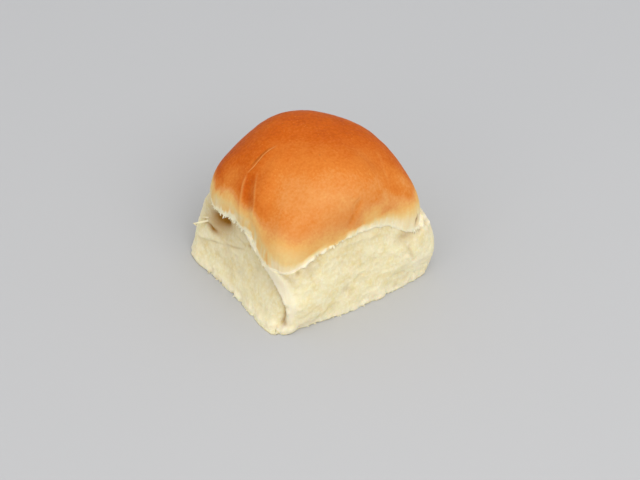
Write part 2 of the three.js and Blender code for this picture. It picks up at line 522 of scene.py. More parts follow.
@dataclass
class Skin:
    """A patch of the roll's surface on a grid, with what its finish needs to know."""

    points: np.ndarray
    bake: np.ndarray
    crumb: np.ndarray
    shade: np.ndarray
    pale: np.ndarray

    @classmethod
    def plain(cls, points: np.ndarray, bake: float, crumb: float) -> "Skin":
        """A patch with the same bake and crumb all over."""
        flat = np.zeros(points.shape[:-1])
        return cls(points, flat + bake, flat + crumb, flat.copy(), flat.copy())

    @classmethod
    def stacked(cls, patches: list["Skin"]) -> "Skin":
        """Patches joined row under row."""
        return cls(*(np.concatenate([getattr(patch, name) for patch in patches])
                     for name in ("points", *SHARES)))


def grid_normals(points: np.ndarray) -> np.ndarray:
    """Outward unit normals of a grid.

    Args:
        points: rows of points from the bottom up, each closing on itself.

    Returns:
        The cross product of the steps round and up, at length 1.
    """
    around = np.roll(points, -1, axis=1) - np.roll(points, 1, axis=1)
    upward = np.gradient(points, axis=0)
    return unit(np.cross(around, upward))


@dataclass(frozen=True)
class TornSides:
    """The four torn sides: soft, lumpy crumb that was pulled away from its neighbours."""

    form: RollForm
    rows: int = 86
    row_spread: float = 0.97
    base_round: float = 1.0
    crust_thickness: float = 1.2
    # how far the crust stands out over the crumb, and the share of the side over which it does
    overhang: float = 0.4
    overhang_low: Span = (0.60, 0.95)
    overhang_high: Span = (0.90, 0.985)
    overhang_low_share: float = 0.45
    overhangs: tuple[Wave, ...] = (
        Wave(176, 0.42, 2.3), Wave(-163, 0.20, 1.2), Wave(-50, 0.22, 0.1),
        Wave(60, 0.50, 1.1), Wave(115, 0.30, 0.7), Wave(-134, 0.20, -0.4), Wave(-32, 0.18, -0.7),
    )
    lumps: Layers = ((14.0, 0.70, 11), (4.6, 0.26, 12), (1.9, 0.09, 18))
    tufts: Layers = ((3.0, 0.05, 13), (1.2, 0.04, 14))
    tuft_fold: float = 2.4
    pore_size: float = 2.6
    pore_depth: float = 0.22
    pore_round: Span = (0.34, 0.10)
    pore_patches: float = 7.0
    pore_chance: Span = (0.0, 0.4)
    strand_across: float = 1.6
    strand_along: float = 4.0
    strand_height: float = 0.07
    # how much of that relief is smoothed away at the base, under the crust and on the column
    base_calm: float = 0.55
    base_calm_down: Span = (0.06, 0.0)
    top_calm: float = 0.8
    top_calm_up: Span = (0.9, 1.0)
    column_calm: float = 0.75
    # the ragged foot, where the crumb was torn off the tray
    frills: Layers = ((3.2, 0.50, 24), (1.5, 0.34, 25))
    frill_stretch: float = 0.5
    frill_down: Span = (5.0, 0.6)
    # the left side is scooped out behind the smooth column of skin at the front corner
    scoop_line: Stations = ((0, 219.5), (5, 223), (10, 223), (14, 220.6), (18, 215.8), (22, 210),
                            (25, 203.4), (27.5, 196), (29.5, 188), (31.5, 179))
    scoop_depth: float = 2.3
    scoop_reach: float = 13.0
    scoop_edge: float = 0.35
    column_width: Stations = ((0, 0.6), (6, 2.2), (12, 4.2), (20, 7.5), (30, 9.0))
    column_rise: Span = (-0.6, 0.2)
    column_fall: Span = (1.25, 0.75)
    column_stand: float = 0.25
    curl: float = 0.3
    curl_across: Span = (3.5, 0.0)
    curl_up: Span = (1, 5)
    curl_lift: float = 0.5
    curl_lift_up: Span = (12, 20)
    # the uneven bead along the column's edge
    bead_at: float = 0.6
    bead_wide: float = 0.9
    bead_height: float = 0.14
    bead_even: float = 0.6
    bead_uneven: float = 2.0
    bead_size: float = 1.6
    # the white rim beside that edge: partly white skin, partly painted highlight where the edge
    # catches light
    rim_at: float = 0.5
    rim_wide: float = 0.8
    rim_up: Span = (2, 6)
    # painted shade, in brown: beside the step, in the relief's hollows, under the crust and inside
    # the scoop
    step_shade: float = 0.30
    step_shade_wide: float = 3.0
    step_shade_across: Span = (0.2, -0.4)
    step_shade_up: Span = (5, 14)
    hollow_shade: float = 0.20
    hollow_depth: Span = (0.1, -0.9)
    top_shade: float = 0.16
    top_shade_down: Span = (9, 0)
    scoop_shade: float = 0.12
    scoop_shade_up: Span = (5, 20)
    scoop_shade_near: Span = (0, -1)
    scoop_shade_far: Span = (-48, -40)
    clean_column: float = 0.8
    # pale skin on the column, its rim and the foot, the rim partly painted highlight; a pocket's
    # painted shade covers it
    column_pale: float = 0.72
    rim_pale: float = 0.6
    foot_pale: float = 0.65
    foot_pale_down: Span = (4.5, 0.5)
    spot_cover: float = 1.5
    # how far relief stands level and not along the side's own slope
    leveling: float = 0.35
    # cave under the crust at the back of the left side, and pits; both are darkened with painted
    # shade
    cave: Swelling = Swelling(156, 0.20, 23.0, 4.2, -2.6)
    pits: tuple[Swelling, ...] = (
        Swelling(148.5, 0.12, 16.6, 1.0, -0.8), Swelling(155, 0.095, 22.6, 1.3, -1.5))
    pit_shade: float = 0.6
    cave_shade: float = 0.4
    # dents and mounds of the crumb; their shade is painted shade in dents, under the crust's edge and
    # between lumps
    pockets: tuple[Pocket, ...] = (
        Pocket((-32.3, -3.3, 22.9), 0.8, 0.7, 0.9, 0.5),
        # painted shade in yellow and brown: the hollow round the cave and its pit
        Pocket((-32.6, 19.0, 19.8), 7.5, 3.4, 0.3, 0.46),
        Pocket((-32.4, 19.6, 16.2), 2.4, 1.3, 0.3, 0.25),
        # pit at the front corner's foot, browned with painted shade, and bright lumps
        Pocket((-31.0, -28.6, 7.6), 1.3, 1.5, 1.3, 0.75),
        Pocket((-32.2, -29.8, 5.0), 2.0, 1.7, 0.5, 0.65),
        Pocket((-35.1, -28.9, 0.7), 0.7, 0.9, 1.0, 0.9),
        Pocket((-30.8, -28.6, 11.5), 1.0, 1.2, 0.7, 0.3),
        Pocket((-35.6, -25.4, 2.6), 2.0, 1.6, -0.9, 0.0, 0.5),
        Pocket((-30.4, -31.6, 2.0), 1.8, 1.3, -0.7, 0.0, 0.5),
        Pocket((-33.6, -24.0, 1.4), 1.3, 1.2, -0.8, 0.0, 0.4),
        Pocket((-27.6, -30.7, 12.9), 4.0, 3.6, -0.8),
        Pocket((-21.5, -31.2, 8.0), 4.5, 4.0, -0.4),
        Pocket((-6.6, -31.2, 18.1), 4.6, 3.4, -0.4),
        Pocket((14.0, -31.0, 20.0), 5.5, 4.0, -0.4),
        Pocket((20.9, -31.0, 19.6), 1.5, 4.2, -0.35),
        Pocket((22.0, -30.4, 23.4), 3.4, 1.5, 0.1, 0.24),
        Pocket((16.9, -32.2, 2.2), 1.2, 1.0, 0.5, 0.2),
        # lumps under the crust's edge, and the fluffy top of the right corner, with painted shade in
        # the gaps between them
        Pocket((-23.1, -28.6, 28.6), 1.0, 0.9, -1.2, 0.0, 0.6),
        Pocket((-19.8, -28.9, 30.2), 1.2, 0.9, -1.1, 0.0, 0.6),
        Pocket((-13.7, -28.8, 32.2), 1.0, 0.8, -1.0, 0.0, 0.5),
        Pocket((-9.0, -28.8, 32.6), 0.9, 0.7, -0.7, 0.0, 0.4),
        Pocket((-16.6, -29.1, 31.0), 0.8, 0.8, 0.6, 0.4),
        Pocket((-26.0, -28.4, 25.6), 0.8, 1.4, 0.5, 0.35),
        Pocket((32.4, -25.2, 25.4), 1.5, 1.3, -1.0, 0.0, 0.9),
        Pocket((34.6, -24.6, 23.4), 1.6, 1.4, -1.0, 0.0, 0.9),
        Pocket((31.0, -27.6, 23.0), 1.3, 1.1, -0.8, 0.0, 0.8),
        Pocket((35.8, -25.4, 20.8), 1.5, 1.3, -0.7, 0.0, 0.8),
        Pocket((32.6, -27.6, 20.6), 1.4, 1.0, -0.7, 0.0, 0.7),
        Pocket((33.0, -26.4, 22.4), 3.4, 3.4, -0.2, 0.05, 0.3),
        Pocket((33.4, -26.6, 21.9), 0.7, 0.6, 0.8, 0.4),
        Pocket((29.6, -28.8, 21.9), 0.8, 0.7, 0.8, 0.45),
        # painted light: the swell low on the right and beside the front corner, cleared of shade and
        # made paler where bounced light would brighten it
        Pocket((28.0, -31.8, 9.0), 5.5, 4.5, -0.1, -0.35, 0.65),
        Pocket((-25.0, -31.6, 4.0), 4.0, 2.6, -0.3, -0.25, 0.5),
        Pocket((6.0, -32.6, 4.5), 6.0, 2.6, -0.1, -0.2, 0.3),
    )
    # creases of the torn crumb; their shade is painted shade in the crease
    creases: tuple[Crease, ...] = (
        Crease(((-34.6, 19.1, 11.5), (-33.6, 15.0, 13.0), (-32.6, 10.9, 14.4), (-32.2, 4.7, 17.1),
                (-31.6, -1.9, 20.4)), 0.5, 0.45, shade=0.3),
        Crease(((-36.0, 29.0, 9.4), (-36.0, 25.5, 9.8), (-35.2, 21.0, 10.9), (-33.8, 15.4, 12.8)),
               0.5, 0.95, Lean.RIGHT, 4.5, shade=0.15, taper=0.45),
        Crease(((-34.6, 12.0, 21.5), (-33.0, 5.0, 22.3), (-32.1, -2.2, 21.4)), 0.7, 0.35, shade=0.15),
        Crease(((-9.2, -32.0, 12.6), (-5.1, -32.0, 10.6), (-3.6, -32.2, 7.2)), 1.3, 0.22, shade=0.16),
        Crease(((-10.2, -29.1, 30.2), (-5.7, -29.2, 30.3), (2.0, -29.2, 30.4), (12.6, -29.4, 28.2),
                (19.2, -30.4, 23.7)), 0.9, -0.16, taper=0.4),
        Crease(((22.2, -31.4, 19.6), (23.0, -31.9, 16.8), (24.3, -32.3, 13.2), (25.8, -32.6, 10.0)),
               1.0, 0.12, shade=0.30),
    )

    def crumb_relief(self, points: np.ndarray, hang: np.ndarray) -> np.ndarray:
        """Outward height of the crumb: lumps, tufts, pulled strands and pores.

        Args:
            points: places on the smooth side.
            hang: distance below the crust's edge.

        Returns:
            Millimetres outwards. Tufts are folded noise, 1 - fold |n|; strands are noise drawn
            out level with the crust's edge; pores are the bottoms of chance round cells.
        """
        out = sum(height * Grain(seed).rough(points, size, 2) for size, height, seed in self.lumps)
        for size, height, seed in self.tufts:
            out = out + height * (1 - self.tuft_fold * np.abs(Grain(seed).noise(points, size)))
        strands = np.stack([points[..., 0] / self.strand_along, points[..., 1] / self.strand_along,
                            -hang / self.strand_across], -1)
        out = out + self.strand_height * Grain(Seed.STRANDS).rough(strands, 1.0, 2)
        chance = ease(*self.pore_chance, Grain(Seed.PORE_PATCHES).noise(points, self.pore_patches))
        pores = ease(*self.pore_round, Grain(Seed.PORES).bubbles(points, self.pore_size))
        return out - self.pore_depth * pores * chance

    def column(self, away: np.ndarray, height: np.ndarray) -> np.ndarray:
        """Share of the smooth column of skin.

        Args:
            away: distance past the scoop's step.
            height: height over the floor.

        Returns:
            A smooth step up at the step times one down at the width read at the height; 1 on it.
        """
        width = along(self.column_width, height)
        first, last = self.column_fall
        return ease(*self.column_rise, away) * ease(width * first, width * last, away)

    def shading(self, away: np.ndarray, height: np.ndarray, hang: np.ndarray,
                relief: np.ndarray) -> np.ndarray:
        """Painted shade of the crumb, in brown, where shade falls.

        Args:
            away: distance past the scoop's step, negative inside the scoop.
            height: height over the floor.
            hang: distance below the crust's edge.
            relief: outward height of the crumb.

        Returns:
            The sum of a bell beside the step and smooth steps in hollows, under the crust and
            inside the scoop.
        """
        step = self.step_shade * hump(np.minimum(away, 0) / self.step_shade_wide)
        step = step * ease(*self.step_shade_across, away) * ease(*self.step_shade_up, height)
        hollows = self.hollow_shade * ease(*self.hollow_depth, relief)
        top = self.top_shade * ease(*self.top_shade_down, hang)
        inside = (self.scoop_shade * ease(*self.scoop_shade_up, height)
                  * ease(*self.scoop_shade_near, away) * ease(*self.scoop_shade_far, away))
        return step + hollows + top + inside

    def patch(self, turns: np.ndarray) -> Skin:
        """The torn sides from the base's edge to the underside of the crust.

        Args:
            turns: directions round the roll.

        Returns:
            The patch, whose grid runs upwards by rows and round by columns. Relief moves the
            smooth side outwards; behind the corner column the side steps in to the scoop, and
            the column's edge curls to the left over it.
        """
        share = np.linspace(0, 1, self.rows)[:, None] ** self.row_spread
        top = self.form.edge(turns)[None] - self.crust_thickness
        height = self.base_round + (top - self.base_round) * share
        turn = np.broadcast_to(turns[None], height.shape)
        smooth = self.form.side(turn, height)
        normals = grid_normals(smooth)
        line = np.radians(along(self.scoop_line, height))
        away = np.angle(np.exp(1j * (turn - line))) * self.form.outline(turn, height)
        column = self.column(away, height)
        # relief of the crumb, its ragged foot, the scoop's step and the bead beside it
        relief = self.crumb_relief(smooth, top - height)
        relief = relief * (1 - self.base_calm * ease(*self.base_calm_down, share))
        frill = layered(smooth * np.array([1, 1, self.frill_stretch]), self.frills)
        relief = relief + frill * ease(*self.frill_down, height)
        sunk = ease(self.scoop_edge, -self.scoop_edge, away) * np.exp(
            np.minimum(away, 0) / self.scoop_reach)
        bead = self.bead_even + self.bead_uneven * Grain(Seed.BEAD).noise(smooth, self.bead_size)
        move = relief * (1 - self.top_calm * ease(*self.top_calm_up, share))
        move = move * (1 - self.column_calm * column)
        move = move - self.scoop_depth * sunk + self.column_stand * column
        move = move + self.bead_height * hump((away - self.bead_at) / self.bead_wide) * bead
        # the cave and pits, the pockets and the creases, each with its painted shade
        shade = self.shading(away, height, top - height, relief)
        for hole, brown in ((self.cave, self.cave_shade), *((p, self.pit_shade) for p in self.pits)):
            near = hole.near(turn, height)
            move, shade = move + hole.out * near, shade + brown * near
        spots, white = np.zeros_like(shade), np.zeros_like(shade)
        for pocket in self.pockets:
            out, brown, light = pocket.press(smooth)
            move, spots, white = move + out, spots + brown, white + light
        for crease in self.creases:
            out, _, brown = crease.press(smooth, normals)
            move, shade = move + out, shade + brown
        # the crumb falls back under the crust
        stand = self.overhang + sum(wave.amount * bell(turn, wave.facing, wave.spread)
                                    for wave in self.overhangs)
        under = (self.overhang_low_share * ease(*self.overhang_low, share)
                 + (1 - self.overhang_low_share) * ease(*self.overhang_high, share))
        move = move - np.maximum(stand, 0) * under * (1 - column)
        flat = unit(normals * np.array([1, 1, self.leveling]))
        curl = self.curl * column * ease(*self.curl_across, away) * ease(*self.curl_up, height)
        lift = self.curl_lift * ease(*self.curl_lift_up, height)
        sideways = np.stack([-np.sin(turn), np.cos(turn), lift], -1)
        patch = Skin.plain(smooth + flat * move[..., None] - sideways * curl[..., None], 0.0, 1.0)
        shade = np.clip(shade, 0, 1) * (1 - self.clean_column * column)
        patch.shade = np.clip(shade + spots, 0, 1)
        rim = hump((away - self.rim_at) / self.rim_wide) * ease(*self.rim_up, height)
        foot = self.foot_pale * ease(*self.foot_pale_down, height)
        patch.pale = np.clip(self.column_pale * column + self.rim_pale * rim + foot + white, 0, 1)
        patch.pale *= 1 - np.clip(self.spot_cover * spots, 0, 1)
        return patch


@dataclass(frozen=True)
class CrustDome:
    """The browned dome of crust, with its fold, seams, dent and pale stretched edge."""

    form: RollForm
    rows: int = 60
    row_spread: float = 1.15
    seams: tuple[Crease, ...] = (
        Crease(((-12.2, 6.5, 56.6), (-17.4, 7.2, 54.6), (-22.3, 6.6, 51.6), (-25.6, 7.0, 48.6)),
               0.32, 0.5, Lean.RIGHT, 2.2, pale=0.75, taper=0.45),
        Crease(((-25.6, 7.0, 48.6), (-28.4, 5.4, 45.6), (-30.1, 3.6, 42.6), (-31.8, 2.0, 38.0),
                (-32.3, 1.2, 34.6)), 0.5, -0.22, pale=0.34, taper=0.15),
        Crease(((-22.9, 3.4, 51.5), (-26.5, -0.1, 48.2), (-28.9, -3.8, 44.8), (-31.0, -6.0, 40.5),
                (-32.0, -7.2, 36.5), (-32.5, -7.6, 32.4)), 0.4, -0.2, pale=0.34, taper=0.3),
        Crease(((2.7, -26.7, 48.7), (0.6, -27.2, 47.5), (-1.2, -27.4, 46.1), (-2.6, -27.5, 44.0)),
               0.35, 0.30, Lean.LEFT, 1.8, pale=0.22),
        Crease(((19.8, -10.8, 52.5), (19.6, -15.5, 51.2), (18.1, -19.7, 49.6), (16.3, -25.7, 44.9)),
               0.6, 0.08, pale=0.16),
    )
    # the valley between the seams is browner, partly browner crust and partly painted shade; the
    # shoulder below it and the dent carry painted shade
    valley: Crease = Crease(((-24.2, 5.4, 50.2), (-27.2, 3.2, 47.4), (-29.8, 0.0, 43.4),
                             (-31.6, -2.8, 39.0), (-32.4, -3.0, 34.0)), 2.4, 0.6, shade=0.28)
    shoulder: Crease = Crease(((-31.4, -3.5, 38.0), (-31.8, -8.0, 34.5), (-32.0, -12.0, 31.5),
                               (-31.5, -16.5, 29.0)), 2.8, 0.5, shade=0.35, taper=0.35)
    dent: Crease = Crease(((2.6, -27.0, 48.0), (0.9, -27.5, 45.4), (-0.7, -27.5, 43.1),
                           (-2.6, -27.8, 40.4), (-5.4, -28.8, 37.6)), 1.15, 0.42, shade=0.5)
    # a slit where the crust folds against the right corner, and the crack beside the fold; the brown
    # in both is painted shade
    cracks: tuple[Crease, ...] = (
        Crease(((29.0, -28.2, 29.4), (27.9, -28.8, 28.1), (27.2, -29.0, 26.2)), 0.55, 0.8,
               shade=1.0, taper=0.35),
        Crease(((-14.2, 7.8, 56.0), (-17.3, 8.3, 54.6), (-20.6, 8.1, 52.6), (-23.4, 7.9, 50.4)),
               0.34, 0.25, shade=0.6, taper=0.35),
    )
    swell_size: float = 17.0
    swell_height: float = 0.5
    swell_up: Span = (0, 0.2)
    # relief dies out towards the crown, where the columns meet
    crown_calm: Span = (1.0, 0.9)
    # puckers drawn out up the stretched skin, strongest near the edge
    pucker_size: float = 1.5
    pucker_height: float = 0.24
    pucker_stretch: float = 0.15
    pucker_low: float = 0.3
    pucker_low_reach: float = 8.0
    pucker_bake: Span = (0.45, 0.1)
    pucker_reach: float = 12.0
    # dull, darker patches of pale skin, by facing: partly the skin's own tone, partly painted shade,
    # most on the left side
    dull_shaded_skin: Stations = ((-180, 0.14), (-160, 0.16), (-150, 0.10), (-138, 0.02), (-60, 0.02),
                           (-30, 0.06), (0, 0.10), (150, 0.12), (180, 0.14))
    dull_bake: Span = (0.36, 0.10)
    dull_uneven: float = 0.5
    dull_size: float = 2.2
    # a crease's painted shade also darkens the crust, as more bake, where that is baked already
    crease_shade: float = 0.16
    crease_shade_from: Span = (0.05, 0.35)
    # chance patterns of the browning: streaks, fibres and clouds, drawn out up the surface
    streak_size: float = 1.7
    streak_stretch: float = 0.10
    fibre_size: float = 3.6
    fibre_stretch: float = 0.08
    wander_size: float = 8.0
    cloud_size: float = 12.0
    cloud_bake: float = 0.03
    pale_streak: float = 0.16
    pale_wander: float = 0.22
    amber_streak: float = 0.06
    amber_wander: float = 0.15
    skin_streak: float = 0.6
    skin_fibre: float = 1.3
    # climb from the edge at which pale stretched skin turns amber, by facing in degrees
    pale_climb: Stations = (
        (-180, 5.2), (-168, 4.0), (-160, 6.2), (-152, 6.0), (-146, 3.4), (-140, 2.0), (-130, 1.1),
        (-120, 0.4), (-114, -0.3), (-102, -0.2), (-95, 0.5), (-82, 1.8), (-72, 2.8), (-62, 4.0),
        (-54, 6.2), (-48, 7.2), (-35, 6.0), (-15, 4.0), (10, 2.5), (40, 6.0), (75, 3.0),
        (110, 2.5), (132, 4.2), (142, 5.5), (150, 5.8), (157, 6.0), (165, 6.0), (175, 5.2),
        (180, 5.2))
    pale_fade: Stations = (
        (-180, 4.5), (-165, 4.5), (-150, 6.0), (-130, 1.8), (-90, 1.6), (-75, 5.0), (-62, 7.0),
        (-50, 9.0), (-30, 8.0), (20, 4.0), (60, 6.0), (110, 4.0), (150, 5.0), (180, 4.5))
    # the pale skin is a little darker and browner on the left: partly baked, partly painted shade
    skin_bake_and_shade: Stations = ((-180, 0.15), (-168, 0.20), (-155, 0.21), (-147, 0.14), (-140, 0.04),
                           (-135, 0.0), (-60, 0.0), (0, 0.05), (150, 0.12), (180, 0.14))
    # climb at which amber turns to full orange brown
    amber_climb: Stations = (
        (-180, 9.5), (-172, 9.5), (-160, 12.5), (-153, 14.0), (-145, 15.0), (-132, 11.5),
        (-120, 7.5), (-105, 4.0), (-92, 4.0), (-80, 7.5), (-70, 11.5), (-55, 14.0), (-40, 14.5),
        (-25, 13.0), (20, 9.0), (60, 11.0), (110, 8.0), (135, 9.5), (150, 9.5), (160, 10.5),
        (170, 10.0), (180, 9.5))
    amber_fade: Stations = (
        (-180, 6.0), (-172, 6.0), (-160, 8.0), (-140, 15.0), (-115, 10.0), (-95, 8.0),
        (-80, 8.0), (-60, 9.0), (-35, 9.0), (0, 8.0), (120, 8.0), (160, 7.0), (180, 6.0))
    amber: float = 0.38
    # the crust is lightest above the front corner and browns away from it, slower to the sides:
    # partly real browning, partly painted light at the front and painted shade towards the back
    palest: tuple[float, float] = (-14.0, -25.0)
    sideways_share: float = 0.62
    depth_away: Stations = ((0, 0.53), (6, 0.55), (10, 0.59), (16, 0.65), (20, 0.70), (24, 0.75),
                            (30, 0.81), (36, 0.84), (45, 0.87), (60, 0.90))
    # lighter and browner clouds on the crust, partly uneven baking and partly painted light and
    # shade: middle, reach and change of bake
    tones: tuple[tuple[Place, float, float], ...] = (
        ((6, -28, 45), 8.0, -0.09), ((-17, 4, 54), 9.0, -0.08), ((12, -3, 57), 9.0, 0.06),
        ((-26, 13, 46), 6.0, -0.06), ((-31, -24, 30), 6.0, -0.13), ((15.5, -27.5, 40.5), 5.0, 0.08),
        ((24, -23.5, 43.5), 5.0, -0.13), ((17, 31, 37), 12.0, 0.10), ((-26, -26.5, 30.5), 5.0, -0.08),
        ((-31.6, 19.8, 36), 4.0, 0.12), ((2, -14, 57), 8.5, 0.05), ((-29, 13, 42.5), 5.0, -0.13),
        ((-5, -27, 47), 6.0, -0.05), ((-22, -27, 40), 8.5, 0.05), ((-19, -13, 51), 8.5, -0.05),
        ((25, -29, 34), 6.0, 0.04), ((-32.5, 7.5, 32.5), 4.0, 0.17), ((2, -28.6, 36), 4.0, 0.06),
        ((-11, 19, 55), 8.5, -0.04), ((21, -27, 38.5), 5.0, 0.05), ((13, -24, 48), 4.5, -0.05),
        ((11, -28, 40), 6.0, 0.08), ((25, -24, 43), 4.0, -0.07), ((-30, 14, 41), 4.0, -0.07),
        ((-33, 14, 36), 4.0, 0.05), ((-25, -6, 49), 12.0, -0.015))
    least_fade: float = 1.2
    # width of the white torn lip along the crust's edge, by facing
    white_lip: Stations = (
        (-180, 0.7), (-160, 0.8), (-148, 0.6), (-138, 0.25), (-128, 0.3), (-121, 0.2), (-116, 0.0),
        (-104, 0.0), (-97, 0.3), (-90, 0.5), (-75, 0.9), (-62, 1.9), (-50, 2.8), (-38, 2.3),
        (-15, 1.2), (30, 0.9), (60, 0.8), (140, 1.0), (153, 0.9), (161, 2.2), (168, 2.0),
        (175, 0.8), (180, 0.7))
    lip_uneven: float = 1.3
    lip_size: float = 2.4
    lip_end: Span = (1.5, 0.4)
    least_lip: float = 0.2
    lip_start: Span = (0.15, 0.6)
    lip_pale: float = 0.45
    crack_crust: float = 2.0

    def browning(self, points: np.ndarray, turn: np.ndarray, climb: np.ndarray) -> np.ndarray:
        """How baked the crust is.

        Args:
            points: places on the dome.
            turn: direction round the roll.
            climb: distance up the surface from the crust's edge.

        Returns:
            0 on pale stretched skin to 1 where darkest: one smooth step up to amber and one from
            amber up, both streaked a little up the surface, with lighter and browner clouds.
        """
        facing = facing_of(turn)
        streak = Grain(Seed.STREAKS).rough(points * np.array([1, 1, self.streak_stretch]),
                                           self.streak_size, 2)
        fibres = Grain(Seed.FIBRES).rough(points * np.array([1, 1, self.fibre_stretch]),
                                          self.fibre_size)
        wander = Grain(Seed.WANDER).noise(points, self.wander_size)
        first = self.step(climb, along(self.pale_climb, facing),
                          np.maximum(along(self.pale_fade, facing), self.least_fade),
                          1 + self.pale_streak * streak + self.pale_wander * wander)
        second = self.step(climb, along(self.amber_climb, facing),
                           along(self.amber_fade, facing),
                           1 + self.amber_streak * streak + self.amber_wander * wander)
        away = np.hypot(self.sideways_share * (points[..., 0] - self.palest[0]),
                        points[..., 1] - self.palest[1])
        deep = along(self.depth_away, away)
        deep = deep + self.cloud_bake * Grain(Seed.CLOUDS).rough(points, self.cloud_size)
        skin = along(self.skin_bake_and_shade, facing) * np.maximum(
            1 + self.skin_streak * streak + self.skin_fibre * fibres, 0)
        baked = np.maximum(self.amber * first + (deep - self.amber) * second * first, skin)
        for middle, reach, change in self.tones:
            gap = np.linalg.norm(points - np.array(middle), axis=-1)
            baked = baked + change * hump(gap / reach)
        return np.maximum(baked, 0)

    @staticmethod
    def step(climb: np.ndarray, middle: np.ndarray, fade: np.ndarray,
             uneven: np.ndarray) -> np.ndarray:
        """Smooth step up the surface, as wide as the fade, about an uneven middle."""
        return ease(-0.5, 0.5, (climb - middle * uneven) / fade)

    def patch(self, turns: np.ndarray) -> Skin:
        """The dome from the crust's edge to just short of the crown.

        Args:
            turns: directions round the roll.

        Returns:
            The patch, whose grid runs upwards by rows and round by columns. Swells, puckers,
            seams, dents and cracks move the smooth dome along its normals.
        """
        up = (np.linspace(0, 1, self.rows, endpoint=False)[:, None]) ** self.row_spread
        turn = np.broadcast_to(turns[None], (self.rows, len(turns)))
        up = np.broadcast_to(up, turn.shape)
        smooth = self.form.dome(turn, up)
        normals = grid_normals(smooth)
        steps = np.linalg.norm(np.diff(smooth, axis=0), axis=-1)
        climb = np.concatenate([np.zeros((1, len(turns))), np.cumsum(steps, axis=0)])
        bake = self.browning(smooth, turn, climb)
        move = self.swell_height * Grain(Seed.SWELLS).noise(smooth, self.swell_size)
        move = move * ease(*self.swell_up, up)
        streaks = smooth * np.array([1, 1, self.pucker_stretch])
        stretched = ease(*self.pucker_bake, bake) * np.exp(-climb / self.pucker_reach)
        stretched = stretched + self.pucker_low * np.exp(-climb / self.pucker_low_reach)
        puckers = Grain(Seed.PUCKERS).rough(streaks, self.pucker_size, 2)
        move = move + self.pucker_height * puckers * stretched
        shade, pale, crack_shade = np.zeros_like(move), np.zeros_like(move), np.zeros_like(move)
        for crease in (*self.seams, self.valley, self.shoulder, self.dent):
            out, light, brown = crease.press(smooth, normals)
            move, pale, shade = move + out, pale + light, shade + brown
        for crack in self.cracks:
            out, _, brown = crack.press(smooth, normals)
            move, crack_shade = move + out, crack_shade + brown
        move = move * ease(*self.crown_calm, up)
        patch = Skin.plain(smooth + normals * move[..., None], 0.0, 0.0)
        # the creases' painted shade darkens the crust as more bake
        patch.bake = np.clip(
            bake + self.crease_shade * shade * ease(*self.crease_shade_from, bake), 0, 1)
        facing = facing_of(turn)
        # dull patches of pale skin, partly painted shade, which the lip covers
        dull_shade = along(self.dull_shaded_skin, facing) * ease(*self.dull_bake, bake) * (
            1 + self.dull_uneven * Grain(Seed.DULL_SHADED_SKIN).rough(streaks, self.dull_size, 2))
        wide = along(self.white_lip, facing) * (
            1 + self.lip_uneven * Grain(Seed.WHITE_LIP).rough(streaks, self.lip_size, 2))
        lip = ease(*self.lip_end, climb / np.maximum(wide, self.least_lip))
        lip = lip * ease(*self.lip_start, wide)
        patch.crumb = lip * (1 - np.clip(self.crack_crust * crack_shade, 0, 1))
        patch.pale = np.clip(pale + self.lip_pale * lip, 0, 1)
        patch.shade = np.clip(crack_shade + dull_shade * (1 - lip), 0, 1)
        return patch


@dataclass(frozen=True)
class CrustEdge:
    """The rounded, ragged edge where the crust stands out over the torn crumb."""

    rows: int = 6
    ragged_size: float = 2.4
    ragged_height: float = 1.3
    ragged_out: float = 0.25
    hang: float = 1.25
    stand: float = 0.12
    knot_drop: float = 0.4
    crust_round: Span = (0.05, 0.6)
    crust_bake: float = 0.26
    white: float = 0.45
    white_knot: float = 0.35
    # how far the crust goes round the edge instead of torn white crumb, by facing
    crusted: Stations = ((-180, 0), (-124, 0), (-118, 0.8), (-104, 0.8), (-98, 0.1), (-90, 0),
                         (180, 0))
    # white knots of crumb that cling to the edge: facing, spread and bulge
    knots: tuple[Wave, ...] = (
        Wave(-128.6, 0.030, 2.2), Wave(-125.2, 0.022, 1.2), Wave(-117.6, 0.030, 2.0),
        Wave(-112.6, 0.026, 1.2), Wave(-97, 0.020, 0.9), Wave(-86, 0.024, 0.8), Wave(-37, 0.05, 1.4),
        Wave(-44, 0.03, 1.0), Wave(163, 0.05, 1.4), Wave(170, 0.04, 1.6), Wave(-179, 0.03, 0.9))

    def patch(self, under: np.ndarray, outer: np.ndarray) -> Skin:
        """The edge's rounding.

        Args:
            under: the top row of the torn sides.
            outer: the bottom row of the dome.

        Returns:
            Rows of a quadratic curve from under to outer, whose middle handle hangs below the
            outer row by a ragged amount.
        """
        drop = outer[:, 2] - under[:, 2]
        ragged = Grain(Seed.EDGE).rough(outer, self.ragged_size, 2) * self.ragged_height
        handle = outer + np.stack([np.zeros_like(drop)] * 2 + [-drop * self.hang + ragged], -1)
        outward = unit(outer * LEVEL)
        handle = handle + outward * (self.stand + self.ragged_out * ragged)[:, None]
        turns = np.arctan2(outer[:, 1], outer[:, 0])
        knot = sum(k.amount * bell(turns, k.facing, k.spread) for k in self.knots)
        handle = handle + (outward - np.array([0, 0, self.knot_drop])) * knot[:, None]
        crusted = along(self.crusted, np.degrees(turns)) * np.clip(1 - knot, 0, 1)
        share = (np.arange(1, self.rows + 1) / (self.rows + 1))[:, None, None]
        patch = Skin.plain(arch(under, handle, outer, share), 0.0, 1.0)
        patch.crumb[:] = 1 - crusted * ease(*self.crust_round, share[..., 0])
        patch.bake[:] = self.crust_bake * crusted
        patch.pale[:] = (1 - crusted) * np.minimum(self.white + self.white_knot * knot, 1)
        return patch


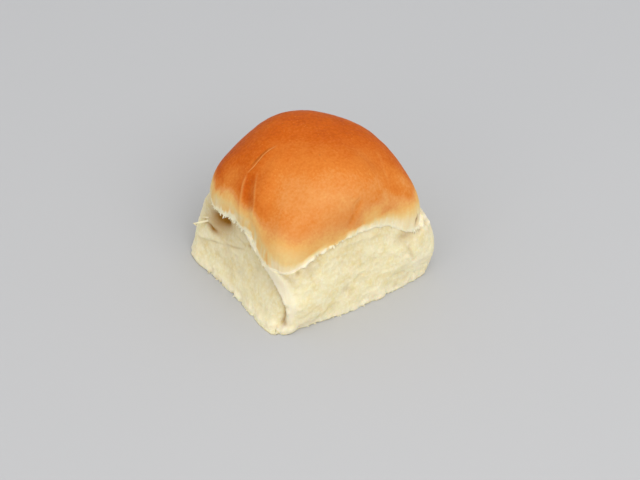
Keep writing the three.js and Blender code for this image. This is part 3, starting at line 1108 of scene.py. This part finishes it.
@dataclass(frozen=True)
class BakedBase:
    """The flat underside that the roll stands on, and its ragged rim."""

    form: RollForm
    shares: tuple[float, ...] = (0.3, 0.6, 0.8, 0.92, 0.97)
    bake: float = 0.55
    rim_rows: int = 3
    rim_in: float = 0.55
    rim_round: float = 0.12
    rim_crumb: float = 0.85
    rim_crumb_out: Span = (0.9, 1.0)
    ragged: Layers = ((5.0, 0.55, 51), (1.8, 0.32, 52))

    def patch(self, turns: np.ndarray, above: np.ndarray) -> Skin:
        """The underside and the rim up to the torn sides.

        Args:
            turns: directions round the roll.
            above: the bottom row of the torn sides.

        Returns:
            Level rings at height 0 out to the rim, then a short round up to the row above.
        """
        flat = self.form.side(turns, np.zeros_like(turns))
        rim = self.rim_in + layered(flat, self.ragged)
        reach = np.hypot(flat[:, 0], flat[:, 1])
        edge = flat * LEVEL * (1 - rim / reach)[:, None]
        shares = np.array([*self.shares, 1.0])[:, None]
        level = Skin.plain(edge * shares[..., None], self.bake, 0.0)
        level.crumb += self.rim_crumb * ease(*self.rim_crumb_out, shares)
        share = (np.arange(1, self.rim_rows + 1) / (self.rim_rows + 1))[:, None, None]
        handle = above * LEVEL + np.array([0, 0, self.rim_round])
        return Skin.stacked([level, Skin.plain(arch(edge, handle, above, share), 0.0, 1.0)])


# ---------------------------------------------------------------- meshes

def ring_quads(rows: int, columns: int) -> np.ndarray:
    """Quads of a grid that closes round its columns.

    Args:
        rows: rows of points.
        columns: points in each row.

    Returns:
        The points' numbers round each quad, with points counted row by row.
    """
    i = np.arange(columns)
    j = (i + 1) % columns
    row = (np.arange(rows - 1) * columns)[:, None]
    return np.stack([row + i, row + j, row + columns + j, row + columns + i], -1).reshape(-1, 4)


def add_mesh(name: str, points: np.ndarray, faces: list[list[int]],
             shares: dict[str, np.ndarray]) -> bpy.types.Object:
    """A smooth-shaded mesh in the scene.

    Args:
        name: the piece's name.
        points: its points in metres.
        faces: the points' numbers round each face.
        shares: what its finish reads at each point, by name.

    Returns:
        The object, at the origin.
    """
    mesh = bpy.data.meshes.new(name)
    mesh.from_pydata(points, [], faces)
    mesh.polygons.foreach_set("use_smooth", np.ones(len(mesh.polygons), bool))
    for share, values in shares.items():
        layer = mesh.attributes.new(share, "FLOAT", "POINT")
        layer.data.foreach_set("value", values.astype(np.float32))
    mesh.update()
    made = bpy.data.objects.new(name, mesh)
    bpy.context.scene.collection.objects.link(made)
    return made


def closed_mesh(name: str, grid: Skin, bottom: np.ndarray, top: np.ndarray) -> bpy.types.Object:
    """A closed mesh from a grid whose columns close on themselves.

    Args:
        name: the piece's name.
        grid: rows of points from the bottom up, in metres.
        bottom: the point that closes the first row.
        top: the point that closes the last row.

    Returns:
        The object, smooth shaded, with the finish's shares as point attributes.
    """
    rows, columns = grid.points.shape[:2]
    points = np.vstack([grid.points.reshape(-1, 3), bottom[None], top[None]])
    i = np.arange(columns)
    j = (i + 1) % columns
    low = np.full(columns, rows * columns)
    last = (rows - 1) * columns
    fans = np.concatenate([np.stack([low, j, i], -1), np.stack([low + 1, i + last, j + last], -1)])
    shares = {}
    for share in SHARES:
        values = getattr(grid, share)
        shares[share] = np.concatenate([values.ravel(), [values[0].mean(), values[-1].mean()]])
    return add_mesh(name, points, ring_quads(rows, columns).tolist() + fans.tolist(), shares)


@dataclass(frozen=True)
class Slivers:
    """Torn slivers of crumb: flattened tubes, closed to a point at both ends.

    Thick is the thickness over the width, rough how far the skin is puckered in mm, and clear
    the least height over the floor in mm.
    """

    name: str
    thick: float
    sides: int
    rings: int
    rough: float = 0.10
    rough_size: float = 0.8
    plump: float = 0.75
    root_power: float = 0.5
    tip_power: float = 0.7
    clear: float = 0.02
    pale: float = 0.5

    def build(self, root: np.ndarray, run: np.ndarray, face: np.ndarray, wide: np.ndarray,
              bend: np.ndarray) -> bpy.types.Object:
        """The slivers as one mesh.

        Args:
            root: where each sliver starts, in mm.
            run: from its root to its tip.
            face: the way that its flat side looks.
            wide: its greatest width.
            bend: how far its tip lifts towards its face, over its length.

        Returns:
            The object. A sliver's half width is plump s^root (1 - s)^tip of its width along its
            length s, and it lifts by the square of s.
        """
        count = len(root)
        across = unit(np.cross(face, run))
        lift = unit(np.cross(run, across))
        long = np.linalg.norm(run, axis=-1)[:, None, None, None]
        s = np.linspace(0, 1, self.rings + 2)[None, 1:-1, None, None]
        angle = np.linspace(0, FULL_TURN, self.sides, endpoint=False)[None, None, :, None]
        half = self.plump * s**self.root_power * (1 - s) ** self.tip_power
        half = half * wide[:, None, None, None]
        line = (root[:, None, None] + run[:, None, None] * s
                + lift[:, None, None] * bend[:, None, None, None] * s**2 * long)
        ring = line + half * (across[:, None, None] * np.cos(angle)
                              + lift[:, None, None] * np.sin(angle) * self.thick)
        pucker = self.rough * Grain(Seed.SLIVERS).noise(ring, self.rough_size)
        ring = ring + pucker[..., None] * lift[:, None, None]
        tip = root + run + lift * (bend[:, None] * long[:, 0, 0])
        points = np.concatenate([root[:, None], ring.reshape(count, -1, 3), tip[:, None]], 1)
        points[..., 2] = np.maximum(points[..., 2], self.clear)
        j = np.arange(self.sides)
        k = (j + 1) % self.sides
        last = 1 + (self.rings - 1) * self.sides
        fans = np.concatenate([np.stack([0 * j, 1 + k, 1 + j], -1),
                               np.stack([0 * j + last + self.sides, last + j, last + k], -1)])
        start = (np.arange(count) * points.shape[1])[:, None, None]
        quads = ring_quads(self.rings, self.sides)[None] + 1 + start
        faces = quads.reshape(-1, 4).tolist() + (fans[None] + start).reshape(-1, 3).tolist()
        made = add_mesh(self.name, points.reshape(-1, 3) * MM, faces, {
            share: np.full(count * points.shape[1], value)
            for share, value in zip(SHARES, (0.0, 1.0, 0.0, self.pale))})
        made.data.materials.append(bpy.data.materials[BreadFinish.name])
        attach(made, "root")
        return made


@dataclass(frozen=True)
class TornBits:
    """A row of small torn slivers of crumb that hang from lines on the roll.

    A span is its first and last facing in degrees and its count of slivers; a line is its path
    and its count. Drop is how strongly the slivers hang down, and sink how deep they are rooted.
    """

    name: str
    length: Span
    width: Span
    drop: float
    sink: float
    seed: int
    thick: float
    spans: tuple[tuple[float, float, int], ...]
    lines: tuple[tuple[Path, int], ...] = ()
    line_steps: int = 400
    jitter: float = 0.35
    lean: float = 0.8
    rise: float = 0.5
    bend: float = 0.3
    sides: int = 8
    rings: int = 5

    def build(self, skin: Skin, row: int, shift: np.ndarray) -> bpy.types.Object:
        """The slivers as one mesh.

        Args:
            skin: the finished roll, in metres, that the slivers grow from.
            row: the grid row that the spans run along.
            shift: how far the roll was moved, in mm.

        Returns:
            The object, whose slivers start at chance places along the spans of the row and
            along the lines, and lean at random.
        """
        dice = np.random.default_rng(self.seed)
        edge = skin.points[row] / MM
        turns = np.arctan2(edge[:, 1], edge[:, 0])
        places = []
        for first, last, count in self.spans:
            facing = np.radians(dice.uniform(first, last, count))
            off = np.abs(np.angle(np.exp(1j * (turns[None] - facing[:, None]))))
            places.append(edge[off.argmin(1)])
        cloud = skin.points.reshape(-1, 3) / MM
        for path, count in self.lines:
            line = smooth_path(path, self.line_steps)[dice.integers(0, self.line_steps, count)]
            line = line + shift + dice.normal(0, self.jitter, line.shape)
            gaps = np.stack([np.sum((cloud - at) ** 2, axis=-1) for at in line])
            places.append(cloud[gaps.argmin(1)])
        root = np.concatenate(places)
        count = len(root)
        outward = unit(root * LEVEL)
        aside = np.stack([-outward[:, 1], outward[:, 0], np.zeros(count)], -1)
        lean = dice.uniform(-self.lean, self.lean, (count, 1))
        rise = dice.uniform(0, self.rise, (count, 1))
        way = unit(aside * lean + outward * rise - np.array([0, 0, self.drop]))
        length = dice.uniform(*self.length, (count, 1))
        wide = dice.uniform(*self.width, count)
        bend = dice.uniform(-self.bend, self.bend, count)
        return Slivers(self.name, self.thick, self.sides, self.rings).build(
            root - outward * self.sink, way * length, outward, wide, bend)


@dataclass(frozen=True)
class TornFlap:
    """The thin torn strands that stick out at the back of the left side."""

    roots: Path = ((-31.6, 22.6, 18.2), (-32.0, 24.0, 16.8), (-31.6, 22.6, 19.6), (-36.0, 25.4, 15.6))
    tips: Path = ((-37.2, 26.2, 15.8), (-35.6, 27.0, 15.0), (-34.2, 24.6, 19.0), (-37.8, 25.8, 17.0))
    face: Place = (-0.5, -0.1, 0.86)
    widths: tuple[float, ...] = (1.5, 0.8, 0.7, 1.5)
    bends: tuple[float, ...] = (0.14, 0.10, 0.20, 0.30)
    strands: Slivers = Slivers("torn_flap", thick=0.5, sides=12, rings=16, rough=0.22)

    def build(self, shift: np.ndarray) -> bpy.types.Object:
        """The strands as one mesh.

        Args:
            shift: how far the roll was moved, in mm.

        Returns:
            The object, whose strands lie flat side up.
        """
        roots, tips = np.array(self.roots) + shift, np.array(self.tips) + shift
        face = np.tile(np.array(self.face), (len(roots), 1))
        return self.strands.build(roots, tips - roots, face, np.array(self.widths),
                                  np.array(self.bends))


# ---------------------------------------------------------------- finishes

def linear(red: int, green: int, blue: int) -> tuple[float, float, float, float]:
    """A screen colour as the linear colour that shaders take.

    Args:
        red: 0 to 255, like green and blue.
        green: the same.
        blue: the same.

    Returns:
        Red, green, blue and full cover, from 0 to 1.
    """
    def channel(value: int) -> float:
        """One channel by the standard screen curve."""
        v = value / 255
        return v / 12.92 if v <= 0.04045 else ((v + 0.055) / 1.055) ** 2.4
    return channel(red), channel(green), channel(blue), 1.0


@dataclass(frozen=True)
class Mottle:
    """Chance variation over a finish: noise whose range to read is carried to one to give."""

    size: float
    detail: float
    read: Span
    give: Span
    squash: Place = (1, 1, 1)
    rough: float = 0.5


@dataclass(frozen=True)
class Dots:
    """Round dots: metres between them, and the radii in cells inside and outside their edge."""

    gap: float
    edge: Span


@dataclass
class NodeDesk:
    """Short calls for laying out a material's nodes."""

    tree: bpy.types.NodeTree

    def add(self, kind: str, **settings: object) -> bpy.types.Node:
        """A new node.

        Args:
            kind: the node's type.
            settings: values of its own settings, by name.

        Returns:
            The node.
        """
        node = self.tree.nodes.new(kind)
        for key, value in settings.items():
            setattr(node, key, value)
        return node

    def put(self, value: object, socket: bpy.types.NodeSocket) -> None:
        """Feeds a socket.

        Args:
            value: an output to link, or a plain value to set.
            socket: the input that takes it.
        """
        if isinstance(value, bpy.types.NodeSocket):
            self.tree.links.new(value, socket)
        else:
            socket.default_value = value

    def share(self, name: str) -> bpy.types.NodeSocket:
        """The value of one of the mesh's point attributes."""
        return self.add("ShaderNodeAttribute", attribute_name=name).outputs["Fac"]

    def mottle(self, wanted: Mottle) -> bpy.types.NodeSocket:
        """Noise on the object's own coordinates.

        Args:
            wanted: its cell in metres, detail and ranges.

        Returns:
            The noise, carried to the wanted range.
        """
        mapping = self.add("ShaderNodeMapping")
        mapping.inputs["Scale"].default_value = wanted.squash
        self.put(self.add("ShaderNodeTexCoord").outputs["Object"], mapping.inputs["Vector"])
        node = self.add("ShaderNodeTexNoise")
        self.put(mapping.outputs["Vector"], node.inputs["Vector"])
        node.inputs["Scale"].default_value = 1 / wanted.size
        node.inputs["Detail"].default_value = wanted.detail
        node.inputs["Roughness"].default_value = wanted.rough
        return self.carry(node.outputs["Fac"], (wanted.read, wanted.give))

    def dots(self, wanted: Dots) -> bpy.types.NodeSocket:
        """Round dots on the object's own coordinates.

        Args:
            wanted: their spacing and edge.

        Returns:
            1 inside a dot, 0 outside.
        """
        node = self.add("ShaderNodeTexVoronoi")
        self.put(self.add("ShaderNodeTexCoord").outputs["Object"], node.inputs["Vector"])
        node.inputs["Scale"].default_value = 1 / wanted.gap
        return self.carry(node.outputs["Distance"], (wanted.edge, (1.0, 0.0)))

    def sums(self, kind: str, a: object, b: object, c: object = 0.0) -> bpy.types.NodeSocket:
        """A Math node.

        Args:
            kind: its operation.
            a: its first value.
            b: its second.
            c: its third, where it takes one.

        Returns:
            Its result.
        """
        node = self.add("ShaderNodeMath", operation=kind)
        for value, socket in zip((a, b, c), node.inputs):
            self.put(value, socket)
        return node.outputs[0]

    def carry(self, value: object, ranges: Carry) -> bpy.types.NodeSocket:
        """A value carried from one range to another.

        Args:
            value: what to carry.
            ranges: the range to read and the one to give.

        Returns:
            The value, kept inside the second range.
        """
        node = self.add("ShaderNodeMapRange")
        for setting, socket in zip((value, *ranges[0], *ranges[1]), node.inputs):
            self.put(setting, socket)
        return node.outputs[0]

    def mix(self, share: object, a: object, b: object) -> bpy.types.NodeSocket:
        """A blend of two colours.

        Args:
            share: how much of the second.
            a: the first.
            b: the second.

        Returns:
            The colour.
        """
        node = self.add("ShaderNodeMix", data_type="RGBA")
        for value, socket in zip((share, a, b), (node.inputs[0], node.inputs[6], node.inputs[7])):
            self.put(value, socket)
        return node.outputs[2]

    def ramp(self, value: object,
             stops: tuple[tuple[float, Colour], ...]) -> bpy.types.NodeSocket:
        """A colour ramp.

        Args:
            value: where to read it.
            stops: (place, screen colour) pairs in rising order.

        Returns:
            The colour.
        """
        node = self.add("ShaderNodeValToRGB")
        elements = node.color_ramp.elements
        while len(elements) < len(stops):
            elements.new(0.5)
        for element, (place, colour) in zip(elements, stops):
            element.position, element.color = place, linear(*colour)
        self.put(value, node.inputs["Fac"])
        return node.outputs["Color"]


@dataclass(frozen=True)
class BreadFinish:
    """The look of the whole roll: baked crust that gives way to pale, matte, open crumb."""

    name: str = "crust_and_crumb"
    # the crust's colours by how baked it is
    crust: tuple[tuple[float, Colour], ...] = (
        (0.0, (240, 224, 182)), (0.20, (236, 204, 138)), (0.40, (231, 176, 101)),
        (0.50, (223, 150, 81)), (0.62, (216, 125, 45)), (0.82, (199, 92, 4)), (1.0, (168, 66, 2)))
    # pale of stretched seams and the lip, also used for painted glints
    seam_and_glint_pale: Colour = (244, 190, 112)
    # brown of burnt dots, also used for painted shade in slits, cracks and dull skin
    burnt_and_shade_brown: Colour = (134, 76, 14)
    cream: Colour = (236, 225, 184)
    butter: Colour = (231, 212, 150)
    tuft: Colour = (243, 236, 206)
    # brown of painted shade in the crumb's hollows, pits and under the crust
    crumb_shade_brown: Colour = (154, 106, 34)
    # pale skin of the crumb, also used for the painted light of the bright swells and the rim's
    # painted highlight
    skin: Colour = (244, 234, 206)
    # unevenness of the bake, and how much of it shows by how baked the crust is
    cloud: Mottle = Mottle(0.007, 3, (0.3, 0.7), (-0.03, 0.03))
    freckle: Mottle = Mottle(0.0010, 2, (0.3, 0.7), (-0.055, 0.055))
    freckle_share: Carry = ((0.42, 0.78), (0.45, 1.0))
    uneven_share: Carry = ((0.0, 0.3), (0.3, 1.0))
    # painted glints: pale specks in patches that stand in for tiny highlights on wrinkles; and a few
    # burnt dots where the crust is baked
    glint_dots: Dots = Dots(0.0013, (0.12, 0.26))
    glint_patches: Mottle = Mottle(0.004, 3, (0.42, 0.62), (0.0, 0.17))
    burnt: Dots = Dots(0.0072, (0.027, 0.0585))
    burnt_share: Carry = ((0.4, 0.5), (0.0, 0.35))
    # buttery patches and whiter tufts of the crumb
    patches: Mottle = Mottle(0.0045, 3, (0.45, 0.68), (0.0, 0.62))
    tufts: Mottle = Mottle(0.0011, 3, (0.45, 0.7), (0.0, 0.7), (1, 1, 0.8))
    # roughness: satin where baked, dry on pale skin, matte on crumb
    satin: Mottle = Mottle(0.002, 2, (0.3, 0.7), (0.48, 0.64))
    dry_share: Carry = ((0.15, 0.5), (0.8, 0.0))
    matte_share: Carry = ((0.0, 1.0), (0.0, 0.95))
    # fine relief
    wrinkle: Mottle = Mottle(0.0011, 3, (0.3, 0.7), (0.0, 0.10), (1, 1, 0.7))
    fluff: Mottle = Mottle(0.0007, 4, (0.2, 0.8), (0.0, 0.28), (1, 1, 0.7), 0.6)
    relief_strength: float = 0.7
    relief_height: float = 0.0006
    # sheen, and the light that soaks into the bread
    shine: float = 0.12
    glow: float = 0.22
    glow_reach: Place = (0.0022, 0.0013, 0.0007)

    def baked(self, desk: NodeDesk) -> bpy.types.NodeSocket:
        """The crust's colour.

        Args:
            desk: where its nodes are laid out.

        Returns:
            The colour by bake, with clouds, freckles, pale specks of painted glint, burnt dots, pale
            seams, and the painted shade of slits, cracks and dull skin in brown.
        """
        bake = desk.share("bake")
        freckle = desk.sums("MULTIPLY", desk.mottle(self.freckle),
                            desk.carry(bake, self.freckle_share))
        uneven = desk.sums("MULTIPLY", desk.sums("ADD", desk.mottle(self.cloud), freckle),
                           desk.carry(bake, self.uneven_share))
        crust = desk.ramp(desk.sums("ADD", bake, uneven), self.crust)
        # pale specks painted as glints
        glints = desk.sums("MULTIPLY", desk.dots(self.glint_dots), desk.mottle(self.glint_patches))
        burnt = desk.sums("MULTIPLY", desk.dots(self.burnt), desk.carry(bake, self.burnt_share))
        for share, colour in ((glints, self.seam_and_glint_pale), (burnt, self.burnt_and_shade_brown),
                              (desk.share("pale"), self.seam_and_glint_pale), (desk.share("shade"), self.burnt_and_shade_brown)):
            crust = desk.mix(share, crust, linear(*colour))
        return crust

    def torn(self, desk: NodeDesk) -> bpy.types.NodeSocket:
        """The crumb's colour.

        Args:
            desk: where its nodes are laid out.

        Returns:
            Cream with buttery patches, white tufts, painted shade in brown in hollows and under the
            crust, and pale skin that is partly painted light.
        """
        crumb = linear(*self.cream)
        for share, colour in ((desk.mottle(self.patches), self.butter),
                              (desk.mottle(self.tufts), self.tuft),
                              (desk.share("shade"), self.crumb_shade_brown), (desk.share("pale"), self.skin)):
            crumb = desk.mix(share, crumb, linear(*colour))
        return crumb

    def make(self) -> bpy.types.Material:
        """The finish as a material.

        Returns:
            A material that reads the mesh's bake, crumb, shade and pale shares and its object
            coordinates.
        """
        material = bpy.data.materials.new(self.name)
        material.use_nodes = True
        desk = NodeDesk(material.node_tree)
        shader = material.node_tree.nodes["Principled BSDF"]
        bake, crumb = desk.share("bake"), desk.share("crumb")
        desk.put(desk.mix(crumb, self.baked(desk), self.torn(desk)), shader.inputs["Base Color"])
        gloss = desk.sums("MAXIMUM", desk.mottle(self.satin), desk.carry(bake, self.dry_share))
        desk.put(desk.sums("MAXIMUM", gloss, desk.carry(crumb, self.matte_share)),
                 shader.inputs["Roughness"])
        height = desk.sums("ADD", desk.mottle(self.wrinkle),
                           desk.sums("MULTIPLY", desk.mottle(self.fluff), crumb))
        bump = desk.add("ShaderNodeBump")
        bump.inputs["Strength"].default_value = self.relief_strength
        bump.inputs["Distance"].default_value = self.relief_height
        desk.put(height, bump.inputs["Height"])
        desk.put(bump.outputs["Normal"], shader.inputs["Normal"])
        shader.inputs["Specular IOR Level"].default_value = self.shine
        shader.inputs["Subsurface Weight"].default_value = self.glow
        shader.inputs["Subsurface Radius"].default_value = self.glow_reach
        shader.inputs["Subsurface Scale"].default_value = 1.0
        return material


@dataclass(frozen=True)
class FloorFinish:
    """Plain pale matte floor."""

    name: str = "floor_pale"
    colour: Colour = (188, 188, 189)
    matte: float = 0.9
    shine: float = 0.15

    def make(self) -> bpy.types.Material:
        """The finish as a material.

        Returns:
            A material of one plain tone.
        """
        material = bpy.data.materials.new(self.name)
        material.use_nodes = True
        shader = material.node_tree.nodes["Principled BSDF"]
        shader.inputs["Base Color"].default_value = linear(*self.colour)
        shader.inputs["Roughness"].default_value = self.matte
        shader.inputs["Specular IOR Level"].default_value = self.shine
        return material


# ---------------------------------------------------------------- the roll and its setting

@dataclass
class BreadRoll:
    """The whole roll: base, torn sides, crust edge and dome as one closed skin."""

    form: RollForm = field(default_factory=RollForm)
    columns: int = 600
    shift: np.ndarray = field(default_factory=lambda: np.zeros(3))
    skin: Skin | None = None
    foot_row: int = 0
    lip_row: int = 0

    def build(self) -> bpy.types.Object:
        """The roll's one mesh, placed and dressed.

        Returns:
            The object that stands for the CAD solid. The roll keeps its placed skin, and the
            grid rows of its foot and of its crust's lip.
        """
        turns = self.form.even_turns(self.columns)
        sides = TornSides(self.form).patch(turns)
        dome = CrustDome(self.form).patch(turns)
        base = BakedBase(self.form).patch(turns, sides.points[0])
        edge = CrustEdge().patch(sides.points[-1], dome.points[0])
        self.foot_row = len(base.points) - 2
        self.lip_row = len(base.points) + len(sides.points) + len(edge.points) - 1
        whole = Skin.stacked([base, sides, edge, dome])
        low, high = whole.points.min((0, 1)), whole.points.max((0, 1))
        cad_low, cad_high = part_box(NODE)
        middle = (np.array(cad_low) + np.array(cad_high)) / 2 / MM
        self.shift = middle - (low + high) / 2
        self.shift[2] = 0
        crown = np.array(self.form.crown) + self.shift
        whole.points = (whole.points + self.shift) * MM
        self.skin = whole
        made = closed_mesh("roll", whole, self.shift * MM, crown * MM)
        made.data.materials.append(BreadFinish().make())
        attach(made, "root")
        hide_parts(NODE)
        return made


@dataclass(frozen=True)
class Lamp:
    """A square soft light, turned to the roll; its places and size are in metres."""

    name: str
    place: Place
    size: float
    power: float
    tint: Place
    aim: Place = (0, 0, 0.03)

    def build(self) -> None:
        """The light in the scene."""
        data = bpy.data.lights.new(self.name, "AREA")
        data.shape, data.size, data.energy, data.color = "SQUARE", self.size, self.power, self.tint
        made = bpy.data.objects.new(self.name, data)
        made.location = self.place
        way = Vector(self.aim) - made.location
        made.rotation_euler = way.to_track_quat("-Z", "Y").to_euler()
        bpy.context.scene.collection.objects.link(made)


@dataclass(frozen=True)
class Setting:
    """Floor, soft lights and the camera, which aren't part of the roll."""

    shift: np.ndarray
    # floor, in metres: level to its flat radius, then rising to its reach
    floor_middle: float = 0.3
    floor_flat: float = 1.2
    floor_reach: float = 3.5
    floor_rise: float = 1.1
    floor_gap: float = 0.00005
    floor_rings: tuple[int, int] = (5, 25)
    floor_sides: int = 96
    # a broad key in front and above, and a weak warm fill from the left
    lamps: tuple[Lamp, ...] = (
        Lamp("key", (-0.04, -0.82, 1.0), 1.0, 7.1, (1.0, 0.99, 0.96)),
        Lamp("fill", (-0.95, -0.38, 0.34), 0.6, 1.3, (1.0, 0.92, 0.81)))
    # even pale surround, a little brighter the way that it leans
    surround: float = 0.91
    surround_tint: tuple[float, ...] = (0.965, 0.98, 1.0, 1)
    surround_lean: float = 0.20
    surround_way: Place = (-0.70, -0.71, 0.0)
    # camera: place and aim in mm, roll in degrees, lens and sensor in mm, clip in metres
    camera_place: Place = (-319.6, -443.5, 469.6)
    camera_aim: Place = (9.73, 7.76, 0.0)
    camera_roll: float = 2.37
    lens: float = 104.06
    sensor: float = 36.0
    clip: Span = (0.01, 50.0)

    def floor(self) -> None:
        """A plain pale floor just under the roll, which sweeps up into a low wall all round.

        The profile is level out to the flat radius and then rises as a parabola of the radius.
        """
        flat, sweep = self.floor_rings
        radius = np.concatenate([[0.0], np.linspace(self.floor_middle, self.floor_flat, flat),
                                 np.linspace(self.floor_flat, self.floor_reach, sweep)[1:]])
        out = np.maximum(radius - self.floor_flat, 0) / (self.floor_reach - self.floor_flat)
        turn = np.linspace(0, FULL_TURN, self.floor_sides, endpoint=False)[None]
        height = self.floor_rise * out[:, None] ** 2 - self.floor_gap + 0 * turn
        rings = np.stack([radius[:, None] * np.cos(turn), radius[:, None] * np.sin(turn), height], -1)
        i = np.arange(self.floor_sides) + self.floor_sides
        middle = np.stack([0 * i, i, np.roll(i, -1)], -1)
        quads = (ring_quads(len(radius) - 1, self.floor_sides) + self.floor_sides)[:, [0, 3, 2, 1]]
        made = add_mesh("floor", rings.reshape(-1, 3), middle.tolist() + quads.tolist(), {})
        made.data.materials.append(FloorFinish().make())

    def light(self) -> None:
        """The lamps and the surround."""
        for lamp in self.lamps:
            lamp.build()
        world = bpy.data.worlds.new("surround")
        world.use_nodes = True
        desk = NodeDesk(world.node_tree)
        back = world.node_tree.nodes["Background"]
        back.inputs["Color"].default_value = self.surround_tint
        facing = desk.add("ShaderNodeVectorMath", operation="DOT_PRODUCT")
        desk.put(desk.add("ShaderNodeTexCoord").outputs["Generated"], facing.inputs[0])
        facing.inputs[1].default_value = self.surround_way
        desk.put(desk.sums("MULTIPLY_ADD", facing.outputs["Value"], self.surround_lean,
                           self.surround), back.inputs["Strength"])
        bpy.context.scene.world = world
        bpy.context.scene.view_settings.view_transform = "Standard"

    def camera(self) -> None:
        """The camera, level but for a slight roll."""
        place = (Vector(self.camera_place) + Vector(self.shift)) * MM
        aim = (Vector(self.camera_aim) + Vector(self.shift)) * MM
        turned = (aim - place).to_track_quat("-Z", "Y").to_matrix().to_4x4()
        data = bpy.data.cameras.new("camera")
        data.lens, data.sensor_width = self.lens, self.sensor
        data.clip_start, data.clip_end = self.clip
        made = bpy.data.objects.new("camera", data)
        made.matrix_world = (Matrix.Translation(place) @ turned
                             @ Matrix.Rotation(math.radians(self.camera_roll), 4, "Z"))
        bpy.context.scene.collection.objects.link(made)
        bpy.context.scene.camera = made


def main() -> None:
    """Builds the roll and its setting, and logs the pieces' faces."""
    logging.basicConfig(level=logging.INFO, format="%(name)s: %(message)s")
    roll = BreadRoll()
    made = roll.build()
    LOG.info("%s: %d faces, moved %s mm", made.name, len(made.data.polygons), roll.shift.round(2))
    notch_edge = ((-29.8, -12.6, 26.0), (-30.6, -16.0, 20.0), (-30.0, -22.0, 16.0),
                  (-29.8, -27.0, 11.5), (-30.5, -28.0, 7.5))
    wisps = TornBits("tear_wisps", length=(0.7, 1.8), width=(0.6, 1.3), drop=0.8, sink=0.25,
                     seed=61, thick=0.6, lines=((notch_edge, 26),),
                     spans=((148, 172, 18), (172, 206, 56), (-68, -40, 26), (-128, -96, 16),
                            (20, 120, 24), (-36, 20, 10)))
    flakes = TornBits("foot_flakes", length=(0.7, 1.6), width=(0.7, 1.7), drop=0.05, sink=0.45,
                      seed=62, thick=0.42, spans=((150, 226, 40), (-134, -50, 26), (-40, 140, 40)))
    pieces = (wisps.build(roll.skin, roll.lip_row, roll.shift),
              flakes.build(roll.skin, roll.foot_row, roll.shift), TornFlap().build(roll.shift))
    for piece in pieces:
        LOG.info("%s: %d faces", piece.name, len(piece.data.polygons))
    setting = Setting(roll.shift)
    setting.floor()
    setting.light()
    setting.camera()
    LOG.info("setting ready")


if __name__ == "__main__":
    main()
